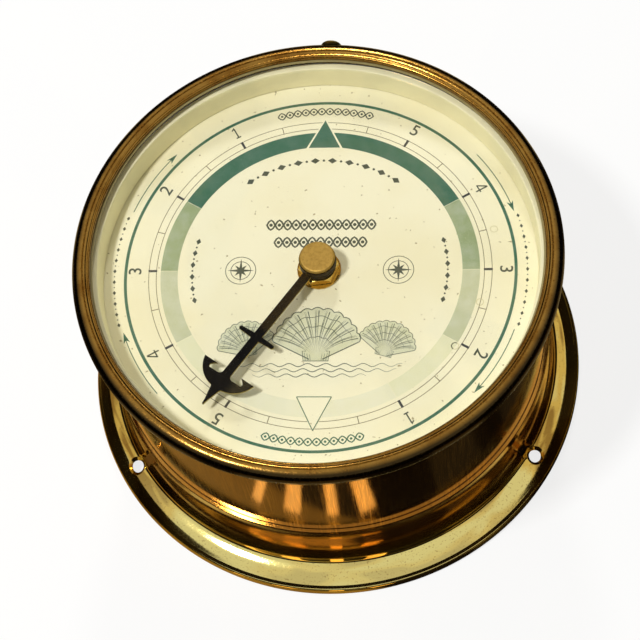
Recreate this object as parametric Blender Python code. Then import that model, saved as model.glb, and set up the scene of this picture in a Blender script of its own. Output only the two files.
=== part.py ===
"""Wall tide clock in a spun brass ship's case, lying on its back.

Sizes are in metres. +Z points out of the dial and +Y to the twelve o'clock mark.
The foot of the mounting flange stands at z = 0, and the dial's axis is the Z axis.
"""

import math

import bmesh
import bpy
from mathutils import Matrix, Vector

# Fits and facets
GAP = 0.0003
OVERSHOOT = 0.0010
EASE = 0.0003
RING_STEPS = 64
SMALL_STEPS = 24
HUB_STEPS = 32
COIL_STEPS = 16
PIN_STEPS = 12
CREASE_ANGLE = math.radians(32)

# Mounting flange, from the collar outwards and from the foot upwards
COLLAR_RADIUS = 0.0785
COLLAR_SWELL = 0.0008
COVE_STEP = 0.0006
COVE_WIDTH = 0.0019
FACE_WIDTH = 0.0068
FACE_CROWN = 0.0005
EDGE_WIDTH = 0.0014
EDGE_HEIGHT = 0.0034
EDGE_ROLL = 0.0012
FACE_RISE = 0.0034
COVE_RISE = 0.0045
SWELL_RISE = 0.0055
COLLAR_TAPER = 0.0078
COLLAR_STRAIGHT = 0.0058
FLANGE_SHEET = 0.0012
FOOT_WIDTH = 0.0022

SWELL_RADIUS = COLLAR_RADIUS + COLLAR_SWELL
COVE_RADIUS = SWELL_RADIUS + COVE_STEP
FACE_INNER_RADIUS = COVE_RADIUS + COVE_WIDTH
FACE_OUTER_RADIUS = FACE_INNER_RADIUS + FACE_WIDTH
FLANGE_RADIUS = FACE_OUTER_RADIUS + EDGE_WIDTH
FACE_OUTER_HEIGHT = EDGE_HEIGHT + EDGE_ROLL
FACE_INNER_HEIGHT = FACE_OUTER_HEIGHT + FACE_RISE
COVE_HEIGHT = FACE_INNER_HEIGHT + COVE_RISE
SWELL_HEIGHT = COVE_HEIGHT + SWELL_RISE
COLLAR_HEIGHT = SWELL_HEIGHT + COLLAR_TAPER + COLLAR_STRAIGHT

# Screw holes in the flange's face
HOLE_COUNT = 3
HOLE_INSET = 0.0020
HOLE_TURN = math.radians(1.75)
HOLE_DIAMETER = 0.0044
COUNTERSINK_DIAMETER = 0.0066
COUNTERSINK_ANGLE = math.radians(90)

# Anchor hand and its cap
HAND_TURN = math.radians(145.4)
HAND_LENGTH = 0.0635
POINT_LENGTH = 0.0071
POINT_HALF = 0.0016
CROWN_DEPTH = 0.0048
FLUKE_LENGTH = 0.0026
FLUKE_SPREAD = 0.0102
ARM_START = math.radians(83)
ARM_END = math.radians(13)
ARM_CURVE_STEPS = 5
BARB_SPREAD = 0.0049
NOTCH_SPREAD = 0.0066
SHANK_HALF = 0.0016
STOCK_SETBACK = 0.0293
STOCK_HALF_LENGTH = 0.0068
STOCK_ROOT_HALF = 0.0010
STOCK_END_HALF = 0.0007
BLADE_THICKNESS = 0.0008
HUB_RADIUS = 0.0063
HUB_HEIGHT = 0.0037
CAP_RADIUS = 0.0061
CAP_THICKNESS = 0.0006
CAP_BEVEL = 0.0004
PEG_RADIUS = 0.0022
PEG_LENGTH = 0.0005

# Heights at the dial: the bush, the hub stack, the glass and the drum's lip
DIAL_FACE = 0.0765
DIAL_THICKNESS = 0.0010
BUSH_STAND = 0.0041
HUB_CLEARANCE = 0.0010
GLASS_CLEARANCE = 0.0005
WALL_SHEET = 0.0006

DIAL_BACK = DIAL_FACE - DIAL_THICKNESS
BUSH_TOP = DIAL_FACE + BUSH_STAND
HUB_BOTTOM = BUSH_TOP + HUB_CLEARANCE
HUB_TOP = HUB_BOTTOM + HUB_HEIGHT
CAP_BOTTOM = HUB_TOP + GAP
CAP_TOP = CAP_BOTTOM + CAP_THICKNESS
GLASS_BOTTOM = CAP_TOP + GLASS_CLEARANCE
WALL_TOP = GLASS_BOTTOM - GAP
DRUM_TOP = WALL_TOP - WALL_SHEET - GAP

# Drum and the dial's seat
DRUM_WALL = 0.0014
DRUM_BOTTOM = 0.0016
SEAT_HEIGHT = 0.0030
SEAT_WIDTH = 0.0038
WALL_TAPER = 0.0005

DRUM_RADIUS = COLLAR_RADIUS - FLANGE_SHEET - GAP
DRUM_BORE = DRUM_RADIUS - DRUM_WALL

# Bezel, glass and gasket
GLASS_THICKNESS = 0.0020
GASKET_WIDTH = 0.0011
GASKET_THICKNESS = 0.0005
SKIRT_GRIP = 0.0036
SKIRT_WALL = 0.0017
LIP_WIDTH = 0.0008
LIP_HEIGHT = 0.0012
LIP_DROP = 0.0010
CREST_INSET = 0.0022
RIM_OVERHANG = 0.0038
RIM_DROP = 0.0033
RIM_BELLY = 0.0041
RIM_CURVE_STEPS = 4

BEZEL_BORE = DRUM_RADIUS + GAP
LIP_RADIUS = BEZEL_BORE - LIP_WIDTH
SKIRT_RADIUS = BEZEL_BORE + SKIRT_WALL
RIM_RADIUS = SKIRT_RADIUS + RIM_OVERHANG
SKIRT_BOTTOM = DRUM_TOP - SKIRT_GRIP
GLASS_TOP = GLASS_BOTTOM + GLASS_THICKNESS
GASKET_TOP = GLASS_TOP + GAP + GASKET_THICKNESS
LIP_BOTTOM = GASKET_TOP + GAP
RIM_TOP = LIP_BOTTOM + LIP_HEIGHT + LIP_DROP
RIM_WIDEST = RIM_TOP - RIM_DROP
RIM_UNDERSIDE = RIM_WIDEST - RIM_BELLY

# Pull button on the rim
NUB_ANGLE = math.radians(1.5)
NUB_RADIUS = 0.0037
NUB_HEIGHT = 0.0016
NUB_DROP = 0.0008
STEM_RADIUS = 0.0009
STEM_LENGTH = 0.0024

# Gear teeth
GEAR_MODULE = 0.0008
WHEEL_TEETH = 24
PINION_TEETH = 8
ADDENDUM = 0.00065
DEDENDUM = 0.00095
TOOTH_ROOT_WIDTH = 0.00092
TOOTH_TIP_WIDTH = 0.00043
WHEEL_THICKNESS = 0.0010
PINION_RISE = 0.0005
ARBOR_RADIUS = 0.00075

GEAR_CENTRES = GEAR_MODULE * (WHEEL_TEETH + PINION_TEETH) / 2
WHEEL_TIP_RADIUS = GEAR_MODULE * WHEEL_TEETH / 2 + ADDENDUM

# Gear axes, each from the one before by its direction, anticlockwise from +X
MOTION_BEARING = math.radians(150)
THIRD_BEARING = math.radians(50)
FAST_BEARING = math.radians(150)
ROTOR_BEARING = math.radians(170)

MOTION_AXIS = Vector((math.cos(MOTION_BEARING), math.sin(MOTION_BEARING))) * GEAR_CENTRES
THIRD_AXIS = Vector((math.cos(THIRD_BEARING), math.sin(THIRD_BEARING))) * GEAR_CENTRES
FAST_AXIS = THIRD_AXIS + Vector((math.cos(FAST_BEARING), math.sin(FAST_BEARING))) * GEAR_CENTRES
ROTOR_AXIS = FAST_AXIS + Vector((math.cos(ROTOR_BEARING), math.sin(ROTOR_BEARING))) * GEAR_CENTRES

# Bush, washers and nut at the dial's centre
BUSH_RADIUS = 0.0041
BUSH_BORE = 0.0026
BUSH_FLANGE_WIDTH = 0.0019
BUSH_FLANGE_THICKNESS = 0.0012
RUBBER_WIDTH = 0.0046
RUBBER_THICKNESS = 0.0009
WASHER_WIDTH = 0.0031
WASHER_THICKNESS = 0.0005
NUT_WALL = 0.0016
NUT_HEIGHT = 0.0025
NUT_BEVEL = 0.0007
NUT_TURN = math.radians(8)

# Cell and contacts
CELL_RADIUS = 0.0071
CELL_BODY_LENGTH = 0.0493
CELL_CLEARANCE = 0.0012
CELL_NUB_RADIUS = 0.00275
CELL_NUB_LENGTH = 0.0012
CELL_EDGE = 0.0005
CONTACT_SHEET = 0.0006
CONTACT_WIDTH = 0.0085
CONTACT_FOOT = 0.0005
CONTACT_HEAD = 0.0045
STRIP_HEIGHT = 0.0025
STRIP_REACH = 0.0026
DIMPLE_RADIUS = 0.0025
DIMPLE_HEIGHT = 0.0007

# Movement housing, from the dial side to the rear
HOUSING_WALL = 0.0012
HOUSING_CORNER = 0.0020
PARTITION = 0.0008
TIP_CLEARANCE = 0.00035
STRIP_SLOT_WIDTH = 0.0016
COVER_THICKNESS = 0.0012
WHEEL_CLEARANCE = 0.0004
PLANE_STEP = 0.0025
REAR_CLEARANCE = 0.0007

HOUSING_FRONT = DIAL_BACK - RUBBER_THICKNESS - 2 * GAP
INNER_FRONT = HOUSING_FRONT - HOUSING_WALL
TIDE_PLANE = INNER_FRONT - GAP - BUSH_FLANGE_THICKNESS - WHEEL_CLEARANCE - WHEEL_THICKNESS
MOTION_PLANE = TIDE_PLANE - PLANE_STEP
CENTRE_PLANE = MOTION_PLANE - PLANE_STEP
THIRD_PLANE = CENTRE_PLANE - PLANE_STEP
FAST_PLANE = THIRD_PLANE - PLANE_STEP
COVER_TOP = FAST_PLANE - REAR_CLEARANCE
HOUSING_REAR = COVER_TOP - COVER_THICKNESS
ROOM_FOR_CELL_WIDTH = WHEEL_TIP_RADIUS + TIP_CLEARANCE + PARTITION + 2 * CELL_RADIUS + CELL_CLEARANCE
ROOM_FOR_CELL_LENGTH = (CELL_BODY_LENGTH + CELL_NUB_LENGTH + DIMPLE_HEIGHT) / 2 + CONTACT_SHEET + 2 * GAP
ROOM_FOR_WHEELS = FAST_AXIS.y + WHEEL_TIP_RADIUS + TIP_CLEARANCE
INSIDE = max(ROOM_FOR_CELL_WIDTH, ROOM_FOR_CELL_LENGTH, ROOM_FOR_WHEELS)
HOUSING_HALF = INSIDE + HOUSING_WALL
BAY_TOP = 2 * CELL_RADIUS + CELL_CLEARANCE - INSIDE
PARTITION_TOP = BAY_TOP + PARTITION
CELL_Y = (BAY_TOP - INSIDE) / 2
CELL_MIDDLE = INNER_FRONT - GAP - CELL_RADIUS

# Hand tube, centre arbor and set wheel
TUBE_WALL = 0.0009
TUBE_SINK = 0.0008
SHAFT_RADIUS = 0.0010
SHAFT_ABOVE = 0.0071
SHAFT_BELOW = 0.0050
CANNON_RISE = 0.0004
HUB_BOSS_RADIUS = 0.0022
HUB_BOSS_BELOW = 0.0009
HUB_BOSS_ABOVE = 0.0007
SET_WHEEL_RADIUS = 0.0062
SET_WHEEL_THICKNESS = 0.0040
SET_WHEEL_CLEARANCE = 0.0007
SET_WHEEL_RIBS = 20
RIB_DEPTH = 0.0004

TUBE_RADIUS = BUSH_BORE - GAP
SET_WHEEL_TOP = HOUSING_REAR - SET_WHEEL_CLEARANCE
SET_WHEEL_BOTTOM = SET_WHEEL_TOP - SET_WHEEL_THICKNESS

# Rotor, stator and coil
MAGNET_RADIUS = 0.0026
MAGNET_HEIGHT = 0.0030
STATOR_CLEARANCE = 0.0005
STATOR_SHEET = 0.0008
STATOR_RISE = 0.0009
STATOR_HEAD_WIDTH = 0.0052
STATOR_ABOVE = 0.0068
STATOR_BELOW = 0.0063
STATOR_CORNER = 0.0020
STATOR_LEG_WIDTH = 0.0022
STATOR_SIDE = 0.0036
COIL_INSET = 0.0048
COIL_ABOVE_BAY = 0.0040
BOBBIN_FLANGE_RADIUS = 0.0030
BOBBIN_TUBE_RADIUS = 0.0018
BOBBIN_BORE = 0.0014
BOBBIN_FLANGE = 0.0008
WINDING_DEPTH = 0.0005
CORE_WIDTH = 0.0020
CORE_OVERLAP = 0.0026

COIL_X = COIL_INSET - INSIDE
COIL_START = PARTITION_TOP + COIL_ABOVE_BAY
COIL_LENGTH = ROTOR_AXIS.y - STATOR_BELOW - COIL_START - 4 * GAP
STATOR_PLANE = THIRD_PLANE + STATOR_RISE

# Circuit board and its parts
BOARD_WIDTH = 0.0168
BOARD_THICKNESS = 0.0008
BOARD_MARGIN = 0.0004
POST_RADIUS = 0.0015
POST_HEIGHT = 0.0008
POST_INSET = 0.0033
CHIP_RADIUS = 0.0025
CHIP_HEIGHT = 0.0011
CHIP_INSET = 0.0053
CRYSTAL_RADIUS = 0.0010
CRYSTAL_LENGTH = 0.0060
CRYSTAL_INSET = 0.0033

BOARD_BOTTOM = COVER_TOP + POST_HEIGHT + GAP
BOARD_TOP = BOARD_BOTTOM + BOARD_THICKNESS
BOARD_RIGHT = INSIDE - BOARD_MARGIN
BOARD_LEFT = THIRD_AXIS.x + ARBOR_RADIUS + BOARD_MARGIN
BOARD_LOW = PARTITION_TOP + 3 * BOARD_MARGIN

# Finishes: base colour, roughness, metallic
FINISHES = {
    "polished_brass": ((0.62, 0.40, 0.10), 0.12, 1.0),
    "brushed_brass": ((0.34, 0.24, 0.09), 0.34, 1.0),
    "dial_cream": ((0.89, 0.86, 0.58), 0.45, 0.0),
    "wall_cream": ((0.84, 0.80, 0.55), 0.50, 0.0),
    "clear_glass": ((0.90, 0.93, 0.92), 0.03, 0.0),
    "grey_rubber": ((0.30, 0.31, 0.30), 0.60, 0.0),
    "black_enamel": ((0.012, 0.012, 0.012), 0.38, 0.0),
    "black_plastic": ((0.03, 0.03, 0.03), 0.50, 0.0),
    "white_plastic": ((0.78, 0.78, 0.74), 0.45, 0.0),
    "steel": ((0.56, 0.56, 0.55), 0.30, 1.0),
    "copper_wire": ((0.60, 0.26, 0.12), 0.35, 1.0),
    "green_board": ((0.03, 0.20, 0.08), 0.45, 0.0),
    "cell_jacket": ((0.10, 0.12, 0.15), 0.35, 0.0),
}


def finish(name):
    """Return the Principled material of one finish, made on first use."""
    made = bpy.data.materials.get(name)
    if made:
        return made
    colour, roughness, metallic = FINISHES[name]
    made = bpy.data.materials.new(name)
    made.use_nodes = True
    shader = made.node_tree.nodes["Principled BSDF"]
    shader.inputs["Base Color"].default_value = (*colour, 1.0)
    shader.inputs["Roughness"].default_value = roughness
    shader.inputs["Metallic"].default_value = metallic
    return made


def add_object(name, mesh, finish_name, place=(0.0, 0.0, 0.0)):
    """Link a mesh to the scene under its node name, with its finish and its origin."""
    piece = bpy.data.objects.new(name, mesh)
    bpy.context.scene.collection.objects.link(piece)
    piece.location = place
    if finish_name:
        mesh.materials.append(finish(finish_name))
    return piece


def finished_mesh(name, shape):
    """Turn a bmesh into a mesh with faces outward and round surfaces shaded smooth."""
    bmesh.ops.recalc_face_normals(shape, faces=shape.faces)
    mesh = bpy.data.meshes.new(name)
    shape.to_mesh(mesh)
    shape.free()
    mesh.shade_smooth()
    mesh.set_sharp_from_angle(angle=CREASE_ANGLE)
    return mesh


def turned(name, outline, finish_name, steps=SMALL_STEPS, place=(0.0, 0.0, 0.0)):
    """Spin a closed outline of (radius, height) points round the Z axis at its place."""
    shape = bmesh.new()
    rings = []
    for radius, height in outline:
        if radius <= 0.0:
            rings.append([shape.verts.new((0.0, 0.0, height - place[2]))])
            continue
        rings.append([
            shape.verts.new((radius * math.cos(2 * math.pi * step / steps),
                             radius * math.sin(2 * math.pi * step / steps),
                             height - place[2]))
            for step in range(steps)])
    for index, ring in enumerate(rings):
        after = rings[(index + 1) % len(rings)]
        for step in range(steps):
            corners = []
            for vertex in (ring[step % len(ring)], ring[(step + 1) % len(ring)],
                           after[(step + 1) % len(after)], after[step % len(after)]):
                if vertex not in corners:
                    corners.append(vertex)
            if len(corners) > 2:
                shape.faces.new(corners)
    return add_object(name, finished_mesh(name, shape), finish_name, place)


def tube_outline(inner, outer, bottom, top):
    """Return the closed outline of a plain ring or tube."""
    return [(outer, top), (outer, bottom), (inner, bottom), (inner, top)]


def disc_outline(radius, bottom, top):
    """Return the outline of a solid disc that reaches the axis."""
    return [(0.0, top), (radius, top), (radius, bottom), (0.0, bottom)]


def prism(name, outline, bottom, top, finish_name, place=(0.0, 0.0, 0.0)):
    """Extrude a closed outline of (x, y) points from one height to another."""
    shape = bmesh.new()
    floor = [shape.verts.new((x, y, bottom - place[2])) for x, y in outline]
    face = shape.faces.new(floor)
    grown = bmesh.ops.extrude_face_region(shape, geom=[face])
    risen = [item for item in grown["geom"] if isinstance(item, bmesh.types.BMVert)]
    bmesh.ops.translate(shape, verts=risen, vec=(0.0, 0.0, top - bottom))
    return add_object(name, finished_mesh(name, shape), finish_name, place)


def block_outline(low, high):
    """Return a rectangle's outline between two corners."""
    return [(low[0], low[1]), (high[0], low[1]), (high[0], high[1]), (low[0], high[1])]


def rounded_outline(half_width, corner, corner_steps=4):
    """Return a centred square's outline with rounded corners."""
    outline = []
    inset = half_width - corner
    for quarter, (side_x, side_y) in enumerate(((1, 1), (-1, 1), (-1, -1), (1, -1))):
        for step in range(corner_steps + 1):
            angle = math.radians(90) * (quarter + step / corner_steps)
            outline.append((side_x * inset + corner * math.cos(angle),
                            side_y * inset + corner * math.sin(angle)))
    return outline


def combine(piece, tool, operation):
    """Cut, join or intersect a piece with a hidden tool body."""
    tool.hide_render = True
    tool.display_type = "WIRE"
    step = piece.modifiers.new(operation.title(), "BOOLEAN")
    step.operation = operation
    step.solver = "EXACT"
    step.object = tool
    return piece


def polar(radius, angle, height=0.0):
    """Return a point at a radius and an anticlockwise angle from +X."""
    return Vector((radius * math.cos(angle), radius * math.sin(angle), height))


def arc_points(centre, across, rise, start, end, steps):
    """Return points of an elliptic arc from one angle to another, both ends included."""
    return [(centre[0] + across * math.cos(start + (end - start) * step / steps),
             centre[1] + rise * math.sin(start + (end - start) * step / steps))
            for step in range(steps + 1)]


def sheet_outline(outer_line, thickness):
    """Return a closed outline: an outer line, and the same line set in by the thickness."""
    inner_line = []
    for index, point in enumerate(outer_line):
        before = Vector(outer_line[max(index - 1, 0)])
        after = Vector(outer_line[min(index + 1, len(outer_line) - 1)])
        run = (after - before).normalized()
        inward = Vector((run.y, -run.x))
        inner_line.append(tuple(Vector(point) + inward * thickness))
    return list(outer_line) + inner_line[::-1]


def build_flange():
    """Spin the mounting flange with its collar, and drill the countersunk screw holes."""
    crown_rise = FACE_RISE / 2 - FACE_CROWN
    sheet_line = [
        (COLLAR_RADIUS, COLLAR_HEIGHT),
        (COLLAR_RADIUS, COLLAR_HEIGHT - COLLAR_STRAIGHT),
        (SWELL_RADIUS, SWELL_HEIGHT),
        (COVE_RADIUS, COVE_HEIGHT),
        (COVE_RADIUS + COVE_WIDTH * 0.40, FACE_INNER_HEIGHT + COVE_RISE * 0.32),
        (FACE_INNER_RADIUS, FACE_INNER_HEIGHT),
        (FACE_INNER_RADIUS + FACE_WIDTH / 2, FACE_INNER_HEIGHT - crown_rise),
        (FACE_OUTER_RADIUS, FACE_OUTER_HEIGHT),
    ]
    rolled_edge = [
        (FLANGE_RADIUS - EASE, EDGE_HEIGHT + EASE),
        (FLANGE_RADIUS, EDGE_HEIGHT - 2 * EASE),
        (FLANGE_RADIUS, EASE),
        (FLANGE_RADIUS - EASE, 0.0),
        (FLANGE_RADIUS - FOOT_WIDTH, 0.0),
    ]
    sheet = sheet_outline(sheet_line, FLANGE_SHEET)
    inner_line = sheet[len(sheet_line):]
    flange = turned("base_flange", sheet_line + rolled_edge + inner_line, "polished_brass", RING_STEPS)

    half_angle = COUNTERSINK_ANGLE / 2
    sink_depth = (COUNTERSINK_DIAMETER - HOLE_DIAMETER) / 2 / math.tan(half_angle)
    slope = math.atan2(crown_rise, FACE_WIDTH / 2)
    drill_end = FLANGE_SHEET + FACE_CROWN + 2 * OVERSHOOT
    drill_outline = [
        (0.0, OVERSHOOT),
        (COUNTERSINK_DIAMETER / 2 + OVERSHOOT * math.tan(half_angle), OVERSHOOT),
        (HOLE_DIAMETER / 2, -sink_depth),
        (HOLE_DIAMETER / 2, -drill_end),
        (0.0, -drill_end),
    ]
    hole_height = FACE_INNER_HEIGHT - HOLE_INSET * math.tan(slope)
    for index in range(HOLE_COUNT):
        angle = math.radians(90) + HOLE_TURN + index * 2 * math.pi / HOLE_COUNT
        drill = turned(f"screw_drill_{index}", drill_outline, None, SMALL_STEPS)
        drill.location = polar(FACE_INNER_RADIUS + HOLE_INSET, angle, hole_height)
        drill.rotation_euler = (Matrix.Rotation(angle, 3, "Z") @ Matrix.Rotation(slope, 3, "Y")).to_euler()
        combine(flange, drill, "DIFFERENCE")


def build_case():
    """Build the drum, the seat for the dial and the dial plate."""
    turned("case_drum", [
        (DRUM_RADIUS - EASE, DRUM_TOP),
        (DRUM_RADIUS, DRUM_TOP - EASE),
        (DRUM_RADIUS, DRUM_BOTTOM),
        (DRUM_BORE, DRUM_BOTTOM),
        (DRUM_BORE, DRUM_TOP),
    ], "brushed_brass", RING_STEPS)
    inside = DRUM_BORE - GAP
    seat_top = DIAL_BACK - GAP
    turned("dial_seat_ring", tube_outline(inside - SEAT_WIDTH, inside, seat_top - SEAT_HEIGHT, seat_top),
           "brushed_brass", RING_STEPS)
    turned("dial_plate", tube_outline(BUSH_RADIUS + GAP, inside, DIAL_BACK, DIAL_FACE),
           "dial_cream", RING_STEPS)


def build_bezel():
    """Build the bezel with its pull button, the gasket, the glass and the cream wall ring."""
    crest = LIP_RADIUS + CREST_INSET
    profile = [(LIP_RADIUS, RIM_TOP - LIP_DROP), (LIP_RADIUS + CREST_INSET * 0.36, RIM_TOP - LIP_DROP * 0.30)]
    profile += arc_points((crest, RIM_WIDEST), RIM_RADIUS - crest, RIM_DROP,
                          math.radians(90), 0.0, RIM_CURVE_STEPS)
    profile += arc_points((SKIRT_RADIUS, RIM_WIDEST), RIM_OVERHANG, RIM_BELLY,
                          0.0, math.radians(-90), RIM_CURVE_STEPS)[1:]
    profile += [
        (SKIRT_RADIUS, SKIRT_BOTTOM),
        (BEZEL_BORE, SKIRT_BOTTOM),
        (BEZEL_BORE, LIP_BOTTOM),
        (LIP_RADIUS, LIP_BOTTOM),
    ]
    bezel = turned("bezel_ring", profile, "polished_brass", RING_STEPS)

    nub = turned("bezel_nub", [
        (0.0, NUB_HEIGHT),
        (NUB_RADIUS * 0.50, NUB_HEIGHT * 0.86),
        (NUB_RADIUS * 0.86, NUB_HEIGHT * 0.46),
        (NUB_RADIUS, 0.0),
        (STEM_RADIUS, 0.0),
        (STEM_RADIUS, -STEM_LENGTH),
        (0.0, -STEM_LENGTH),
    ], "polished_brass", SMALL_STEPS)
    drill_outline = disc_outline(STEM_RADIUS + GAP, -STEM_LENGTH - GAP, OVERSHOOT)
    drill = turned("nub_drill", drill_outline, None, PIN_STEPS)
    outward = Matrix.Rotation(-NUB_ANGLE, 3, "Z") @ Matrix.Rotation(math.radians(-90), 3, "X")
    for body in (nub, drill):
        body.rotation_euler = outward.to_euler()
        body.location = polar(RIM_RADIUS + GAP, math.radians(90) - NUB_ANGLE, RIM_WIDEST - NUB_DROP)
    combine(bezel, drill, "DIFFERENCE")

    loose = BEZEL_BORE - GAP
    turned("glass_gasket", tube_outline(loose - GASKET_WIDTH, loose, GLASS_TOP + GAP, GASKET_TOP),
           "grey_rubber", RING_STEPS)
    turned("glass_lens", disc_outline(loose, GLASS_BOTTOM, GLASS_TOP), "clear_glass", RING_STEPS)
    sleeve = DRUM_BORE - GAP
    head = sleeve - WALL_SHEET
    foot = head - WALL_TAPER
    turned("rehaut_ring", [
        (loose, WALL_TOP),
        (loose, WALL_TOP - WALL_SHEET),
        (sleeve, WALL_TOP - WALL_SHEET),
        (sleeve, DIAL_FACE + GAP + 1.5 * WALL_SHEET),
        (foot + WALL_SHEET, DIAL_FACE + GAP),
        (foot, DIAL_FACE + GAP),
        (head, WALL_TOP - WALL_SHEET),
        (sleeve, WALL_TOP),
    ], "wall_cream", RING_STEPS)


def build_housing():
    """Build the movement's housing with its cell bay, and the rear cover of the train side."""
    housing = prism("movement_case", rounded_outline(HOUSING_HALF, HOUSING_CORNER),
                    HOUSING_REAR, HOUSING_FRONT, "black_plastic")
    slot_low = BAY_TOP - GAP
    slot_high = PARTITION_TOP + GAP
    rooms = (
        ("train_room", (-INSIDE, PARTITION_TOP), (INSIDE, INSIDE)),
        ("cell_bay", (-INSIDE, -INSIDE), (INSIDE, BAY_TOP)),
        ("strip_slot_left", (-INSIDE, slot_low), (STRIP_SLOT_WIDTH - INSIDE, slot_high)),
        ("strip_slot_right", (INSIDE - STRIP_SLOT_WIDTH, slot_low), (INSIDE, slot_high)),
    )
    for name, low, high in rooms:
        room = prism(name, block_outline(low, high), HOUSING_REAR - OVERSHOOT, INNER_FRONT, None)
        combine(housing, room, "DIFFERENCE")
    mouth = turned("bush_hole", disc_outline(BUSH_RADIUS + GAP, INNER_FRONT - OVERSHOOT,
                                             HOUSING_FRONT + OVERSHOOT), None, SMALL_STEPS)
    combine(housing, mouth, "DIFFERENCE")

    loose = INSIDE - GAP
    cover = prism("movement_cover", block_outline((-loose, PARTITION_TOP + GAP), (loose, loose)),
                  HOUSING_REAR, COVER_TOP, "black_plastic")
    arbor_hole = turned("arbor_hole", disc_outline(SHAFT_RADIUS + GAP, HOUSING_REAR - OVERSHOOT,
                                                   COVER_TOP + OVERSHOOT), None, PIN_STEPS)
    combine(cover, arbor_hole, "DIFFERENCE")
    board_posts = (
        (BOARD_LEFT + POST_INSET, BOARD_LOW + POST_INSET),
        (BOARD_RIGHT - POST_INSET, BOARD_LOW + BOARD_WIDTH - POST_INSET),
    )
    for index, (x, y) in enumerate(board_posts):
        post = turned(f"board_post_{index}", disc_outline(POST_RADIUS, COVER_TOP - COVER_THICKNESS / 2,
                                                          BOARD_BOTTOM - GAP), None, PIN_STEPS)
        post.location = (x, y, 0.0)
        combine(cover, post, "UNION")


def build_dial_fixing():
    """Build the threaded bush, the washers and the hexagon nut that hold the movement."""
    flange_top = INNER_FRONT - GAP
    flange_radius = BUSH_RADIUS + BUSH_FLANGE_WIDTH
    turned("threaded_bush", [
        (BUSH_RADIUS - EASE, BUSH_TOP),
        (BUSH_RADIUS, BUSH_TOP - EASE),
        (BUSH_RADIUS, flange_top),
        (flange_radius, flange_top),
        (flange_radius, flange_top - BUSH_FLANGE_THICKNESS),
        (BUSH_BORE, flange_top - BUSH_FLANGE_THICKNESS),
        (BUSH_BORE, BUSH_TOP),
    ], "polished_brass")
    around = BUSH_RADIUS + GAP
    turned("rubber_washer", tube_outline(around, around + RUBBER_WIDTH, HOUSING_FRONT + GAP, DIAL_BACK - GAP),
           "black_plastic")
    washer_bottom = DIAL_FACE + GAP
    washer_top = washer_bottom + WASHER_THICKNESS
    turned("dial_washer", tube_outline(around, around + WASHER_WIDTH, washer_bottom, washer_top),
           "polished_brass")

    nut_bottom = washer_top + GAP
    nut_top = nut_bottom + NUT_HEIGHT
    corner = 2 * (around + NUT_WALL) / math.sqrt(3)
    hexagon = [tuple(polar(corner, math.radians(60) * side + NUT_TURN).xy) for side in range(6)]
    nut = prism("hex_nut", hexagon, nut_bottom, nut_top, "polished_brass")
    bevelled = turned("nut_bevel", [
        (0.0, nut_top + OVERSHOOT),
        (corner - NUT_BEVEL - OVERSHOOT, nut_top + OVERSHOOT),
        (corner - NUT_BEVEL, nut_top),
        (corner + EASE, nut_top - NUT_BEVEL * 0.7),
        (corner + EASE, nut_bottom - OVERSHOOT),
        (0.0, nut_bottom - OVERSHOOT),
    ], None)
    combine(nut, bevelled, "INTERSECT")
    bore = turned("nut_bore", disc_outline(around, nut_bottom - OVERSHOOT, nut_top + OVERSHOOT), None)
    combine(nut, bore, "DIFFERENCE")


def gear_outline(teeth, tooth_angle):
    """Return a gear's outline with one tooth centred on the given angle."""
    pitch_radius = GEAR_MODULE * teeth / 2
    root = pitch_radius - DEDENDUM
    tip = pitch_radius + ADDENDUM
    root_half = TOOTH_ROOT_WIDTH / 2 / root
    tip_half = TOOTH_TIP_WIDTH / 2 / tip
    outline = []
    for tooth in range(teeth):
        centre = tooth_angle + tooth * 2 * math.pi / teeth
        for radius, angle in ((root, centre - root_half), (tip, centre - tip_half),
                              (tip, centre + tip_half), (root, centre + root_half)):
            outline.append(tuple(polar(radius, angle).xy))
    return outline


def facing_gap(teeth, bearing):
    """Return the tooth angle that turns a tooth gap towards a bearing."""
    return bearing + math.pi / teeth


def build_loose_wheel(name, axis, plane, wheel_angle, pinion_angle, pinion_top):
    """Build one wheel with its pinion above it, bored for its arbor."""
    place = (axis.x, axis.y, plane)
    wheel = prism(name, gear_outline(WHEEL_TEETH, wheel_angle), plane, plane + WHEEL_THICKNESS,
                  "white_plastic", place)
    pinion = prism(f"{name}_pinion", gear_outline(PINION_TEETH, pinion_angle),
                   plane + WHEEL_THICKNESS / 2, pinion_top, None, place)
    combine(wheel, pinion, "UNION")
    bore = turned(f"{name}_bore", disc_outline(ARBOR_RADIUS + GAP, plane - OVERSHOOT, pinion_top + OVERSHOOT),
                  None, PIN_STEPS, place)
    combine(wheel, bore, "DIFFERENCE")


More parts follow.
